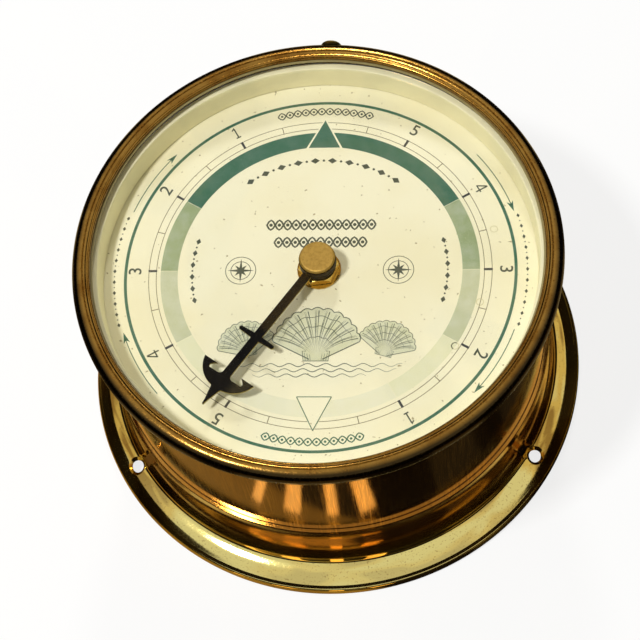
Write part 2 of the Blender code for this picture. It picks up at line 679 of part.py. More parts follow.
def build_hand_train():
    """Build the tide wheel with the hand's tube, its intermediate wheel and the centre arbor."""
    tide_top = TIDE_PLANE + WHEEL_THICKNESS
    tube_top = HUB_TOP - TUBE_SINK
    tide = prism("tide_wheel", gear_outline(WHEEL_TEETH, MOTION_BEARING), TIDE_PLANE, tide_top,
                 "white_plastic")
    tube = turned("hand_tube", disc_outline(TUBE_RADIUS, tide_top - WHEEL_THICKNESS / 2, tube_top), None)
    combine(tide, tube, "UNION")
    tube_bore = turned("tube_bore", disc_outline(TUBE_RADIUS - TUBE_WALL, TIDE_PLANE - OVERSHOOT,
                                                 tube_top + OVERSHOOT), None)
    combine(tide, tube_bore, "DIFFERENCE")

    build_loose_wheel("intermediate_wheel", MOTION_AXIS, MOTION_PLANE, MOTION_BEARING + math.pi,
                      facing_gap(PINION_TEETH, MOTION_BEARING + math.pi), tide_top + PINION_RISE)

    cannon = prism("centre_arbor", gear_outline(PINION_TEETH, facing_gap(PINION_TEETH, MOTION_BEARING)),
                   MOTION_PLANE - CANNON_RISE, MOTION_PLANE + WHEEL_THICKNESS + CANNON_RISE, "steel",
                   (0.0, 0.0, MOTION_PLANE))
    shaft = turned("centre_shaft", disc_outline(SHAFT_RADIUS, HOUSING_REAR - SHAFT_BELOW,
                                                MOTION_PLANE + SHAFT_ABOVE), None, PIN_STEPS)
    combine(cannon, shaft, "UNION")

    knurl = [tuple(polar(SET_WHEEL_RADIUS - RIB_DEPTH * (rib % 2), rib * math.pi / SET_WHEEL_RIBS).xy)
             for rib in range(2 * SET_WHEEL_RIBS)]
    set_wheel = prism("set_wheel", knurl, SET_WHEEL_BOTTOM, SET_WHEEL_TOP, "white_plastic",
                      (0.0, 0.0, SET_WHEEL_BOTTOM))
    set_bore = turned("set_bore", disc_outline(SHAFT_RADIUS + GAP, SET_WHEEL_BOTTOM - OVERSHOOT,
                                               SET_WHEEL_TOP + OVERSHOOT), None, PIN_STEPS)
    combine(set_wheel, set_bore, "DIFFERENCE")


def build_motor_train():
    """Build the wheels that step the motor's speed down to the centre wheel, and the rotor."""
    centre_top = CENTRE_PLANE + WHEEL_THICKNESS
    third_top = THIRD_PLANE + WHEEL_THICKNESS
    build_loose_wheel("third_wheel", THIRD_AXIS, THIRD_PLANE, FAST_BEARING,
                      facing_gap(PINION_TEETH, THIRD_BEARING + math.pi), centre_top + PINION_RISE)
    build_loose_wheel("fast_wheel", FAST_AXIS, FAST_PLANE, ROTOR_BEARING,
                      facing_gap(PINION_TEETH, FAST_BEARING + math.pi), third_top + PINION_RISE)

    boss_bottom = CENTRE_PLANE - HUB_BOSS_BELOW
    boss_top = centre_top + HUB_BOSS_ABOVE
    centre = prism("centre_wheel", gear_outline(WHEEL_TEETH, THIRD_BEARING), CENTRE_PLANE, centre_top,
                   "white_plastic", (0.0, 0.0, CENTRE_PLANE))
    boss = turned("centre_boss", disc_outline(HUB_BOSS_RADIUS, boss_bottom, boss_top), None)
    combine(centre, boss, "UNION")
    slip_bore = turned("slip_bore", disc_outline(SHAFT_RADIUS + GAP, boss_bottom - OVERSHOOT,
                                                 boss_top + OVERSHOOT), None, PIN_STEPS)
    combine(centre, slip_bore, "DIFFERENCE")

    place = (ROTOR_AXIS.x, ROTOR_AXIS.y, FAST_PLANE)
    pinion_top = FAST_PLANE + WHEEL_THICKNESS + PINION_RISE
    pinion_outline = gear_outline(PINION_TEETH, facing_gap(PINION_TEETH, ROTOR_BEARING + math.pi))
    rotor = prism("rotor_pinion", pinion_outline, FAST_PLANE - GAP, pinion_top, "white_plastic", place)
    rotor_bore = turned("rotor_bore", disc_outline(ARBOR_RADIUS + GAP, FAST_PLANE - GAP - OVERSHOOT,
                                                   pinion_top + OVERSHOOT), None, PIN_STEPS, place)
    combine(rotor, rotor_bore, "DIFFERENCE")
    magnet_bottom = pinion_top + GAP
    turned("rotor_magnet", tube_outline(ARBOR_RADIUS + GAP, MAGNET_RADIUS, magnet_bottom,
                                        magnet_bottom + MAGNET_HEIGHT), "steel", SMALL_STEPS, place)


def build_arbors():
    """Build the fixed steel pins that the loose wheels turn on."""
    bottom = COVER_TOP + GAP
    for name, axis in (("motion_arbor", MOTION_AXIS), ("third_arbor", THIRD_AXIS),
                       ("fast_arbor", FAST_AXIS), ("rotor_arbor", ROTOR_AXIS)):
        turned(name, disc_outline(ARBOR_RADIUS, bottom, INNER_FRONT - GAP), "steel", PIN_STEPS,
               (axis.x, axis.y, bottom))


def build_motor():
    """Build the stator plate with the rotor's bore, and the coil on its core."""
    plate_top = STATOR_PLANE + STATOR_SHEET
    left = COIL_X - STATOR_SIDE
    right = ROTOR_AXIS.x + STATOR_HEAD_WIDTH
    top = ROTOR_AXIS.y + STATOR_ABOVE
    shoulder = ROTOR_AXIS.y - STATOR_BELOW
    leg_inner = COIL_X + BOBBIN_FLANGE_RADIUS + 2 * GAP
    leg_outer = leg_inner + STATOR_LEG_WIDTH
    foot_top = COIL_START - 2 * GAP
    foot_left = COIL_X - CORE_WIDTH * 0.75
    core_start = COIL_START - CORE_OVERLAP
    core_end = COIL_START + COIL_LENGTH + CORE_OVERLAP
    stator = prism("stator_plate", [
        (left, shoulder), (leg_inner, shoulder), (leg_inner, foot_top), (foot_left, foot_top),
        (foot_left, core_start), (leg_outer, core_start), (leg_outer, shoulder), (right, shoulder),
        (right, top - STATOR_CORNER), (right - STATOR_CORNER, top), (left + STATOR_CORNER, top),
        (left, top - STATOR_CORNER),
    ], STATOR_PLANE, plate_top, "steel")
    bore = turned("stator_bore", disc_outline(MAGNET_RADIUS + STATOR_CLEARANCE, STATOR_PLANE - OVERSHOOT,
                                              plate_top + OVERSHOOT), None)
    bore.location = (ROTOR_AXIS.x, ROTOR_AXIS.y, 0.0)
    combine(stator, bore, "DIFFERENCE")
    core_top = STATOR_PLANE - GAP
    core_bottom = core_top - STATOR_SHEET
    core_outline = block_outline((COIL_X - CORE_WIDTH / 2, core_start), (COIL_X + CORE_WIDTH / 2, core_end))
    prism("coil_core", core_outline, core_bottom, core_top, "steel")

    bobbin = turned("coil_bobbin", [
        (BOBBIN_FLANGE_RADIUS, COIL_LENGTH),
        (BOBBIN_FLANGE_RADIUS, COIL_LENGTH - BOBBIN_FLANGE),
        (BOBBIN_TUBE_RADIUS, COIL_LENGTH - BOBBIN_FLANGE),
        (BOBBIN_TUBE_RADIUS, BOBBIN_FLANGE),
        (BOBBIN_FLANGE_RADIUS, BOBBIN_FLANGE),
        (BOBBIN_FLANGE_RADIUS, 0.0),
        (BOBBIN_BORE, 0.0),
        (BOBBIN_BORE, COIL_LENGTH),
    ], "white_plastic", COIL_STEPS)
    wound = BOBBIN_TUBE_RADIUS + GAP
    winding = turned("coil_winding", tube_outline(wound, wound + WINDING_DEPTH, BOBBIN_FLANGE + GAP,
                                                  COIL_LENGTH - BOBBIN_FLANGE - GAP),
                     "copper_wire", COIL_STEPS)
    for body in (bobbin, winding):
        body.rotation_euler = (math.radians(-90), 0.0, 0.0)
        body.location = (COIL_X, COIL_START, (core_bottom + core_top) / 2)


def build_board():
    """Build the circuit board, the sealed chip and the crystal can on it."""
    prism("circuit_board", block_outline((BOARD_LEFT, BOARD_LOW), (BOARD_RIGHT, BOARD_LOW + BOARD_WIDTH)),
          BOARD_BOTTOM, BOARD_TOP, "green_board")
    seat = BOARD_TOP + GAP
    chip = turned("chip_seal", [
        (0.0, seat + CHIP_HEIGHT),
        (CHIP_RADIUS * 0.60, seat + CHIP_HEIGHT * 0.82),
        (CHIP_RADIUS * 0.92, seat + CHIP_HEIGHT * 0.40),
        (CHIP_RADIUS, seat),
        (0.0, seat),
    ], "black_plastic", COIL_STEPS)
    chip.location = (BOARD_RIGHT - CHIP_INSET, BOARD_LOW + BOARD_WIDTH / 2, 0.0)
    crystal = turned("quartz_crystal", disc_outline(CRYSTAL_RADIUS, -CRYSTAL_LENGTH / 2, CRYSTAL_LENGTH / 2),
                     "steel", PIN_STEPS)
    crystal.rotation_euler = (0.0, math.radians(90), 0.0)
    crystal.location = ((BOARD_LEFT + BOARD_RIGHT) / 2, BOARD_LOW + CRYSTAL_INSET, seat + CRYSTAL_RADIUS)


def contact_outline():
    """Return a contact's outline: the plate at the cell's end and the strip to the board."""
    low = CELL_Y - CONTACT_WIDTH / 2
    high = CELL_Y + CONTACT_WIDTH / 2
    strip_bottom = BOARD_TOP + GAP
    strip_top = strip_bottom + STRIP_HEIGHT
    strip_end = PARTITION_TOP + STRIP_REACH
    bottom = strip_bottom - CONTACT_FOOT
    top = CELL_MIDDLE + CONTACT_HEAD
    return [(low, bottom), (high, bottom), (high, strip_bottom), (strip_end, strip_bottom),
            (strip_end, strip_top), (high, strip_top), (high, top), (low, top)]


def build_cell():
    """Build the cell lying in its bay, and the spring contacts at its ends."""
    contact_back = INSIDE - GAP
    contact_face = contact_back - CONTACT_SHEET
    cell_length = CELL_BODY_LENGTH + CELL_NUB_LENGTH
    cell_start = contact_face - GAP - cell_length
    cell = turned("battery_cell", [
        (0.0, cell_length),
        (CELL_NUB_RADIUS, cell_length),
        (CELL_NUB_RADIUS, CELL_BODY_LENGTH),
        (CELL_RADIUS - CELL_EDGE, CELL_BODY_LENGTH),
        (CELL_RADIUS, CELL_BODY_LENGTH - CELL_EDGE),
        (CELL_RADIUS, CELL_EDGE),
        (CELL_RADIUS - CELL_EDGE, 0.0),
        (0.0, 0.0),
    ], "cell_jacket")
    cell.rotation_euler = (0.0, math.radians(90), 0.0)
    cell.location = (cell_start, CELL_Y, CELL_MIDDLE)

    upright = Matrix(((0.0, 0.0, 1.0), (1.0, 0.0, 0.0), (0.0, 1.0, 0.0))).to_euler()
    negative = prism("negative_contact", contact_outline(), -contact_back, -contact_face, "steel")
    positive = prism("positive_contact", contact_outline(), contact_face, contact_back, "steel")
    sheet_middle = -(contact_back + contact_face) / 2
    dimple = turned("contact_dimple", [
        (0.0, cell_start - GAP),
        (DIMPLE_RADIUS * 0.6, cell_start - GAP),
        (DIMPLE_RADIUS, sheet_middle),
        (0.0, sheet_middle),
    ], None, PIN_STEPS)
    for body in (negative, positive, dimple):
        body.rotation_euler = upright
    dimple.location = (0.0, CELL_Y, CELL_MIDDLE)
    combine(negative, dimple, "UNION")


def hand_outline():
    """Return the anchor's outline, with distance along the hand as y and the spread as x."""
    crown = HAND_LENGTH - POINT_LENGTH
    arm_inner = crown - CROWN_DEPTH
    tip = arm_inner - FLUKE_LENGTH
    stock = HAND_LENGTH - STOCK_SETBACK
    across = (FLUKE_SPREAD - SHANK_HALF / 2) / math.cos(ARM_END)
    rise = (crown - tip) / (math.sin(ARM_START) - math.sin(ARM_END))
    right_side = [
        (POINT_HALF * 0.16, HAND_LENGTH),
        (POINT_HALF * 0.38, HAND_LENGTH - POINT_LENGTH * 0.31),
        (POINT_HALF * 0.72, HAND_LENGTH - POINT_LENGTH * 0.59),
        (POINT_HALF, HAND_LENGTH - POINT_LENGTH * 0.89),
    ]
    right_side += arc_points((SHANK_HALF / 2, crown - rise * math.sin(ARM_START)), across, rise,
                             ARM_START, ARM_END, ARM_CURVE_STEPS)
    right_side += [
        (BARB_SPREAD, tip),
        (BARB_SPREAD + (NOTCH_SPREAD - BARB_SPREAD) * 0.65, tip + FLUKE_LENGTH * 0.31),
        (NOTCH_SPREAD + (NOTCH_SPREAD - BARB_SPREAD) * 0.12, tip + FLUKE_LENGTH * 0.65),
        (NOTCH_SPREAD, arm_inner),
        (SHANK_HALF, arm_inner),
        (SHANK_HALF, stock + STOCK_ROOT_HALF),
        (STOCK_HALF_LENGTH, stock + STOCK_END_HALF),
        (STOCK_HALF_LENGTH, stock - STOCK_END_HALF),
        (SHANK_HALF, stock - STOCK_ROOT_HALF),
        (SHANK_HALF, HUB_RADIUS - OVERSHOOT),
    ]
    left_side = [(-x, y) for x, y in reversed(right_side)]
    return right_side + left_side


def build_hand():
    """Build the black anchor hand with its hub, and the turned brass cap on the hub."""
    place = (0.0, 0.0, HUB_BOTTOM)
    blade_bottom = HUB_BOTTOM + GAP
    hub_outline = disc_outline(HUB_RADIUS, HUB_BOTTOM, HUB_TOP)
    hand = turned("anchor_hand", hub_outline, "black_enamel", HUB_STEPS, place)
    blade = prism("anchor_blade", hand_outline(), blade_bottom, blade_bottom + BLADE_THICKNESS, None, place)
    for body in (hand, blade):
        body.rotation_euler = (0.0, 0.0, HAND_TURN)
    combine(hand, blade, "UNION")
    bore_outline = disc_outline(TUBE_RADIUS + GAP, HUB_BOTTOM - OVERSHOOT, HUB_TOP + OVERSHOOT)
    hub_bore = turned("hub_bore", bore_outline, None)
    combine(hand, hub_bore, "DIFFERENCE")
    turned("hand_cap", [
        (0.0, CAP_TOP),
        (CAP_RADIUS - CAP_BEVEL, CAP_TOP),
        (CAP_RADIUS, CAP_TOP - CAP_BEVEL),
        (CAP_RADIUS, CAP_BOTTOM),
        (PEG_RADIUS, CAP_BOTTOM),
        (PEG_RADIUS, CAP_BOTTOM - PEG_LENGTH),
        (0.0, CAP_BOTTOM - PEG_LENGTH),
    ], "polished_brass", HUB_STEPS, (0.0, 0.0, CAP_BOTTOM))


def main():
    """Clear the file and build every piece."""
    for old in list(bpy.data.objects):
        bpy.data.objects.remove(old, do_unlink=True)
    build_flange()
    build_case()
    build_bezel()
    build_housing()
    build_dial_fixing()
    build_hand_train()
    build_motor_train()
    build_arbors()
    build_motor()
    build_board()
    build_cell()
    build_hand()


main()
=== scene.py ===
"""Looks of a wall tide clock in a spun brass ship's case, lying on its back."""

import math

import bmesh
import bpy
from bpy.props import FloatProperty, FloatVectorProperty, IntProperty, PointerProperty
from mathutils import Matrix, Vector


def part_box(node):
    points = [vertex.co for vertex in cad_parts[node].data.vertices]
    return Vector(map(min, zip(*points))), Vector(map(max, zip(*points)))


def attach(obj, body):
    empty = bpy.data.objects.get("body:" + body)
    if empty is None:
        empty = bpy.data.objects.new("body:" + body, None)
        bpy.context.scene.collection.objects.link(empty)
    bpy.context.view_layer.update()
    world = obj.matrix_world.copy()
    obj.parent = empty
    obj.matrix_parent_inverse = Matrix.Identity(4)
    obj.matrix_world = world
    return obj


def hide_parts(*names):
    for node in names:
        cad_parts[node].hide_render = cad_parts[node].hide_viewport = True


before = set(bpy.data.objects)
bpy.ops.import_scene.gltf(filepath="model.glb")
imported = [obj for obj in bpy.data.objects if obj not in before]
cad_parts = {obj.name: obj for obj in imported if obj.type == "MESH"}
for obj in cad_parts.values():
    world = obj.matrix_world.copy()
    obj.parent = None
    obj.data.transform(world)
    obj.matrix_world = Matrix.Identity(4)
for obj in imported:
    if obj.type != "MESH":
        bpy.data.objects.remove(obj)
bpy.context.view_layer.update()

bl_info = {
    "name": "Wall Tide Clock",
    "version": (1, 0, 0),
    "blender": (4, 5, 0),
    "location": "3D View > Sidebar > Tide Clock",
    "description": "Models and finishes a brass cased tide clock round its CAD frame",
    "category": "Object",
}

MM = 0.001
TURN = 2 * math.pi
UP = (0.0, 0.0, 1.0)
# Edges blunter than this are shaded smooth, and points closer than this are one
SMOOTH = math.radians(32)
WELD = 0.001 * MM
# How far the hand and the nut are turned in the photo
HAND_TURN = math.radians(145.4)
NUT_TURN = math.radians(8)


def heights(node):
    """Return a CAD node's lowest and highest height."""
    low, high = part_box(node)
    return low.z, high.z


def reach(node):
    """Return how far a CAD node reaches from the axis."""
    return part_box(node)[1].x


# Heights and radii that pieces share with the frame
FOOT, COLLAR_TOP = heights("base_flange")
DRUM_BOTTOM, DRUM_TOP = heights("case_drum")
SKIRT_BOTTOM, RIM_TOP = heights("bezel_ring")
GASKET_BOTTOM, GASKET_TOP = heights("glass_gasket")
GLASS_BOTTOM, GLASS_TOP = heights("glass_lens")
WALL_BOTTOM, WALL_TOP = heights("rehaut_ring")
DIAL_BACK, DIAL_FACE = heights("dial_plate")
HUB_BOTTOM, HUB_TOP = heights("anchor_hand")
CAP_BOTTOM, CAP_TOP = heights("hand_cap")
NUT_BOTTOM, NUT_TOP = heights("hex_nut")
FLANGE_RADIUS = reach("base_flange")
DRUM_RADIUS = reach("case_drum")
RIM_RADIUS = reach("bezel_ring")
DIAL_RADIUS = reach("dial_plate")

# Starts of the printed layers above the dial's face, so that shapes that cross share no plane
FIRST_INK = 0.01 * MM
SECOND_INK = 0.02 * MM
SHELL_GROUND = 0.03 * MM
SHELL_LINES = 0.04 * MM
MARK_GROUND = 0.05 * MM
MARK_INK = 0.09 * MM


def linear(code):
    """Turn an sRGB hex code into linear red, green and blue."""
    parts = [int(code[index:index + 2], 16) / 255 for index in (1, 3, 5)]
    return tuple(part / 12.92 if part <= 0.04045 else ((part + 0.055) / 1.055) ** 2.4 for part in parts)


def length(label, text, default):
    """Describe a length setting, in metres."""
    return FloatProperty(name=label, description=text, default=default, min=0.0, precision=5,
                         subtype="DISTANCE", unit="LENGTH")


def colour(label, text, code):
    """Describe a colour setting, with its default as an sRGB hex code."""
    return FloatVectorProperty(name=label, description=text, default=linear(code), min=0.0, max=1.0,
                               size=3, subtype="COLOR")


class CaseSettings(bpy.types.PropertyGroup):
    """Sizes of the spun case."""

    spin_steps: IntProperty(name="Spin steps", description="Facets round each large ring", default=256, min=32)
    sheet: length("Flange sheet", "Thickness of the spun flange", 0.0012)
    collar_radius: length("Collar radius", "Radius of the flange's collar round the drum", 0.0785)
    drum_wall: length("Drum wall", "Thickness of the drum", 0.0014)
    lip_radius: length("Lip radius", "Radius of the bezel's opening", 0.0765)
    skirt_radius: length("Skirt radius", "Outer radius of the bezel's skirt", 0.0790)
    rim_widest: length("Rim height", "Height of the bezel's widest line", 0.0887)
    hole: length("Screw hole", "Diameter of a screw hole", 0.0044)
    countersink: length("Countersink", "Diameter of a screw hole's countersink", 0.0066)


class DialSettings(bpy.types.PropertyGroup):
    """Sizes of the print on the dial."""

    ink: length("Ink", "Thickness of a printed layer", 0.00003)
    circle: length("Outer circle", "Radius of the green circle", 0.06676)
    circle_width: length("Outer circle width", "Width of the green circle", 0.00104)
    track_outer: length("Track outer", "Radius of the hour track's outer line", 0.0587)
    track_inner: length("Track inner", "Radius of the hour track's inner line", 0.0561)
    band_outer: length("Band outer", "Outer radius of the coloured band", 0.0546)
    band_inner: length("Band inner", "Inner radius of the coloured band", 0.0487)
    numeral_radius: length("Numeral radius", "Radius at the numerals' middle", 0.0633)
    numeral_height: length("Numeral height", "Height of a numeral", 0.0044)
    arrow_radius: length("Arrow radius", "Radius of the four curved arrows", 0.0698)


class FinishSettings(bpy.types.PropertyGroup):
    """Colours of the finishes."""

    brass: colour("Brass", "Polished brass", "#C7A44C")
    brass_deep: colour("Aged brass", "Brass where its lacquer has browned", "#6C4615")
    # This orange is a painted warm reflection on the flange's collar, not reddening by heat
    brass_red: colour("Reddened brass", "Collar, where heat has reddened the lacquer", "#D69C48")
    drum: colour("Drum", "Brushed drum between its streaks", "#80632E")
    drum_streak: colour("Drum streak", "Bright streaks on the drum", "#BF9B57")
    cream: colour("Cream", "Dial card", "#F8F3D2")
    wall: colour("Wall", "Cream paint of the ring round the dial", "#FAF3CA")
    green: colour("Green", "Dark green ink", "#286045")
    sage: colour("Sage", "Sage ink", "#90A070")
    mist: colour("Mist", "Pale blue green ink", "#C0C49A")
    straw: colour("Straw", "Yellow green ink", "#E6E5BC")
    shell: colour("Shell", "Palest ink of the band", "#EAE8C6")
    olive: colour("Olive", "Dark olive ink", "#36402B")
    # Pale brass is laid in arcs, and also over the flange's front as a painted highlight
    pale: colour("Pale brass", "Brass where its lacquer is thin", "#D4C77E")
    track: colour("Track", "Brown ink of the hour track", "#7A6F4E")
    ink: colour("Ink", "Black ink", "#1F221E")
    black: colour("Black", "Enamel of the hand", "#0B0A0A")


class StageSettings(bpy.types.PropertyGroup):
    """Camera, floor and lamps."""

    lens: FloatProperty(name="Lens", description="Focal length on a 36 mm sensor", default=112.5, unit="CAMERA")
    floor: length("Floor", "Width of the floor", 6.0)
    sky: FloatProperty(name="Sky", description="Level of the light from all round", default=0.28, min=0.0)
    key: FloatProperty(name="Key", description="Power of the large lamp", default=16.8, min=0.0, unit="POWER")


# Modelling

def clear_selection():
    """Leave edit mode and select nothing."""
    if bpy.context.object and bpy.context.object.mode != "OBJECT":
        bpy.ops.object.mode_set(mode="OBJECT")
    bpy.ops.object.select_all(action="DESELECT")


def choose(*pieces):
    """Select these pieces only, with the first one active."""
    clear_selection()
    for piece in pieces:
        piece.select_set(True)
    bpy.context.view_layer.objects.active = pieces[0]


def draw_line(name, points, closed):
    """Shrink a small plane to a vertex and extrude it along a line of points; stay in edit mode."""
    clear_selection()
    bpy.ops.mesh.primitive_plane_add(size=MM)
    piece = bpy.context.object
    piece.name = name
    bpy.ops.object.mode_set(mode="EDIT")
    bpy.ops.mesh.merge(type="CENTER")
    bpy.ops.transform.translate(value=points[0])
    for before, after in zip(points, points[1:]):
        bpy.ops.mesh.extrude_region_move(TRANSFORM_OT_translate={"value": Vector(after) - Vector(before)})
    if closed:
        shape = bmesh.from_edit_mesh(piece.data)
        for vertex in shape.verts:
            vertex.select_set(len(vertex.link_edges) == 1)
        shape.select_flush_mode()
        bmesh.update_edit_mesh(piece.data)
        bpy.ops.mesh.edge_face_add()
    bpy.ops.mesh.select_all(action="SELECT")
    return piece


def close_up(piece):
    """Merge doubled vertices, point the faces outwards, leave edit mode and shade the piece."""
    bpy.ops.mesh.select_all(action="SELECT")
    bpy.ops.mesh.remove_doubles(threshold=WELD)
    bpy.ops.mesh.normals_make_consistent(inside=False)
    bpy.ops.object.mode_set(mode="OBJECT")
    bpy.ops.object.shade_smooth_by_angle(angle=SMOOTH)
    return piece


def spin_piece(name, outline, steps, centre=(0.0, 0.0)):
    """Spin a closed outline of (radius, height) points round an upright axis."""
    points = [(centre[0] + radius, centre[1], height) for radius, height in outline]
    piece = draw_line(name, points, closed=True)
    bpy.ops.mesh.spin(steps=steps, angle=TURN, center=(centre[0], centre[1], 0.0), axis=UP)
    return close_up(piece)


def raise_shape(name, points, bottom, top, bevel=0.0):
    """Fill a flat closed outline, raise it to its top, and soften its edges by a bevel of this width."""
    piece = draw_line(name, [(x, y, bottom) for x, y in points], closed=True)
    bpy.ops.mesh.edge_face_add()
    bpy.ops.mesh.extrude_region_move(TRANSFORM_OT_translate={"value": (0.0, 0.0, top - bottom)})
    close_up(piece)
    if bevel:
        soften(piece, bevel)
    return piece


def soften(piece, width, segments=2):
    """Bevel a piece's sharp edges and apply the bevel."""
    choose(piece)
    step = piece.modifiers.new("Soft edges", "BEVEL")
    step.width = width
    step.segments = segments
    step.limit_method = "ANGLE"
    step.angle_limit = SMOOTH
    bpy.ops.object.modifier_apply(modifier=step.name)
    bpy.ops.object.shade_smooth_by_angle(angle=SMOOTH)
    return piece


def carve(piece, tool, operation="DIFFERENCE"):
    """Cut a tool's shape from a piece, or keep what they share, and throw the tool away."""
    choose(piece)
    step = piece.modifiers.new("Cut", "BOOLEAN")
    step.operation = operation
    step.solver = "EXACT"
    step.object = tool
    bpy.ops.object.modifier_apply(modifier=step.name)
    bpy.data.objects.remove(tool, do_unlink=True)
    bpy.ops.object.shade_smooth_by_angle(angle=SMOOTH)
    return piece


def join_pieces(name, pieces):
    """Join pieces into one under a name."""
    choose(*pieces)
    if len(pieces) > 1:
        bpy.ops.object.join()
    pieces[0].name = name
    return pieces[0]


def copied(piece, place):
    """Copy a piece with its own mesh, moved by a matrix."""
    choose(piece)
    bpy.ops.object.duplicate()
    copy = bpy.context.object
    copy.data.transform(place)
    return copy


def around(radius, clock, height=0.0):
    """Return a point at a radius and a clock angle in degrees, clockwise from twelve."""
    angle = math.radians(clock)
    return Vector((radius * math.sin(angle), radius * math.cos(angle), height))


def arc(centre, across, rise, start, end, steps):
    """Return points of an elliptic arc between two angles in degrees, anticlockwise from outwards."""
    points = []
    for step in range(steps + 1):
        angle = math.radians(start + (end - start) * step / steps)
        points.append((centre[0] + across * math.cos(angle), centre[1] + rise * math.sin(angle)))
    return points


def smooth_line(points, steps):
    """Return a soft curve through a line of points."""
    line = []
    for index in range(len(points) - 1):
        before = Vector(points[max(index - 1, 0)])
        start = Vector(points[index])
        end = Vector(points[index + 1])
        after = Vector(points[min(index + 2, len(points) - 1)])
        for step in range(steps):
            share = step / steps
            line.append(tuple(0.5 * (2 * start + (end - before) * share
                                     + (2 * before - 5 * start + 4 * end - after) * share ** 2
                                     + (3 * start - before - 3 * end + after) * share ** 3)))
    return line + [tuple(points[-1])]


def set_in(line, distance):
    """Return a line moved to its right by a distance."""
    moved = []
    for index, point in enumerate(line):
        before = Vector(line[max(index - 1, 0)])
        after = Vector(line[min(index + 1, len(line) - 1)])
        run = (after - before).normalized()
        moved.append((point[0] + run.y * distance, point[1] - run.x * distance))
    return moved


def dress(piece, body, material, *nodes):
    """Give a piece its finish and its body, and let it stand for CAD nodes."""
    piece.data.materials.clear()
    piece.data.materials.append(material)
    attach(piece, body)
    if nodes:
        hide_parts(*nodes)
    return piece


# Materials

def fill(tree, node, inputs):
    """Set or link a node's inputs."""
    for name, value in inputs.items():
        socket = node.inputs[name]
        if isinstance(value, bpy.types.NodeSocket):
            tree.links.new(value, socket)
        else:
            socket.default_value = (*value, 1.0) if socket.type == "RGBA" else value


def add_node(tree, kind, output, inputs, **settings):
    """Add a node, give it its settings, set or link its inputs, and return one of its outputs."""
    node = tree.nodes.new(f"ShaderNode{kind}")
    for name, value in settings.items():
        setattr(node, name, value)
    fill(tree, node, inputs)
    return node.outputs[output]


def start_material(name, roughness, metallic=0.0):
    """Return a new material, its tree, its shader and its object coordinates."""
    made = bpy.data.materials.new(name)
    made.use_nodes = True
    tree = made.node_tree
    shader = tree.nodes["Principled BSDF"]
    fill(tree, shader, {"Roughness": roughness, "Metallic": metallic})
    return made, tree, shader, add_node(tree, "TexCoord", "Object", {})


def lay_over(tree, base, tone, pattern, low, high, most):
    """Lay a tone over a base colour, from none where a pattern is low to the most where it is high."""
    share = add_node(tree, "MapRange", "Result", {"Value": pattern, "From Min": low, "From Max": high,
                                                  "To Max": most})
    return add_node(tree, "Mix", 2, {0: share, 6: base, 7: tone}, data_type="RGBA")


def lathe_radius(tree, place):
    """Return the direction away from the axis and the distance from it."""
    flat = add_node(tree, "VectorMath", 0, {0: place, 1: (1.0, 1.0, 0.0)}, operation="MULTIPLY")
    away = add_node(tree, "VectorMath", 0, {0: flat}, operation="NORMALIZE")
    return away, add_node(tree, "VectorMath", "Value", {0: flat}, operation="LENGTH")


def lathe_place(tree, place, turns, outwards, upwards):
    """Return coordinates that run round the axis, away from it and up it, each with its own stretch.

    A noise of scale 1 on them has a grain of 1 / outwards metres outwards and 1 / upwards metres upwards, and
    2 pi times turns grains round the axis."""
    away, radius = lathe_radius(tree, place)
    height = add_node(tree, "SeparateXYZ", "Z", {"Vector": place})
    rise = add_node(tree, "Math", 0, {0: height, 1: upwards}, operation="MULTIPLY")
    along = add_node(tree, "Math", 0, {0: radius, 1: outwards, 2: rise}, operation="MULTIPLY_ADD")
    upright = add_node(tree, "CombineXYZ", 0, {"Z": along})
    return add_node(tree, "VectorMath", 0, {0: away, 1: (turns, turns, 0.0), 2: upright},
                    operation="MULTIPLY_ADD")


def roughen(tree, shader, base, pattern, least, most, relief, strength):
    """Give a shader its colour, and let one pattern vary its roughness and stand in low relief."""
    gloss = add_node(tree, "MapRange", "Result", {"Value": pattern, "From Min": 0.3, "From Max": 0.7,
                                                  "To Min": least, "To Max": most})
    bump = add_node(tree, "Bump", "Normal", {"Height": pattern, "Distance": relief, "Strength": strength})
    fill(tree, shader, {"Base Color": base, "Roughness": gloss, "Normal": bump})


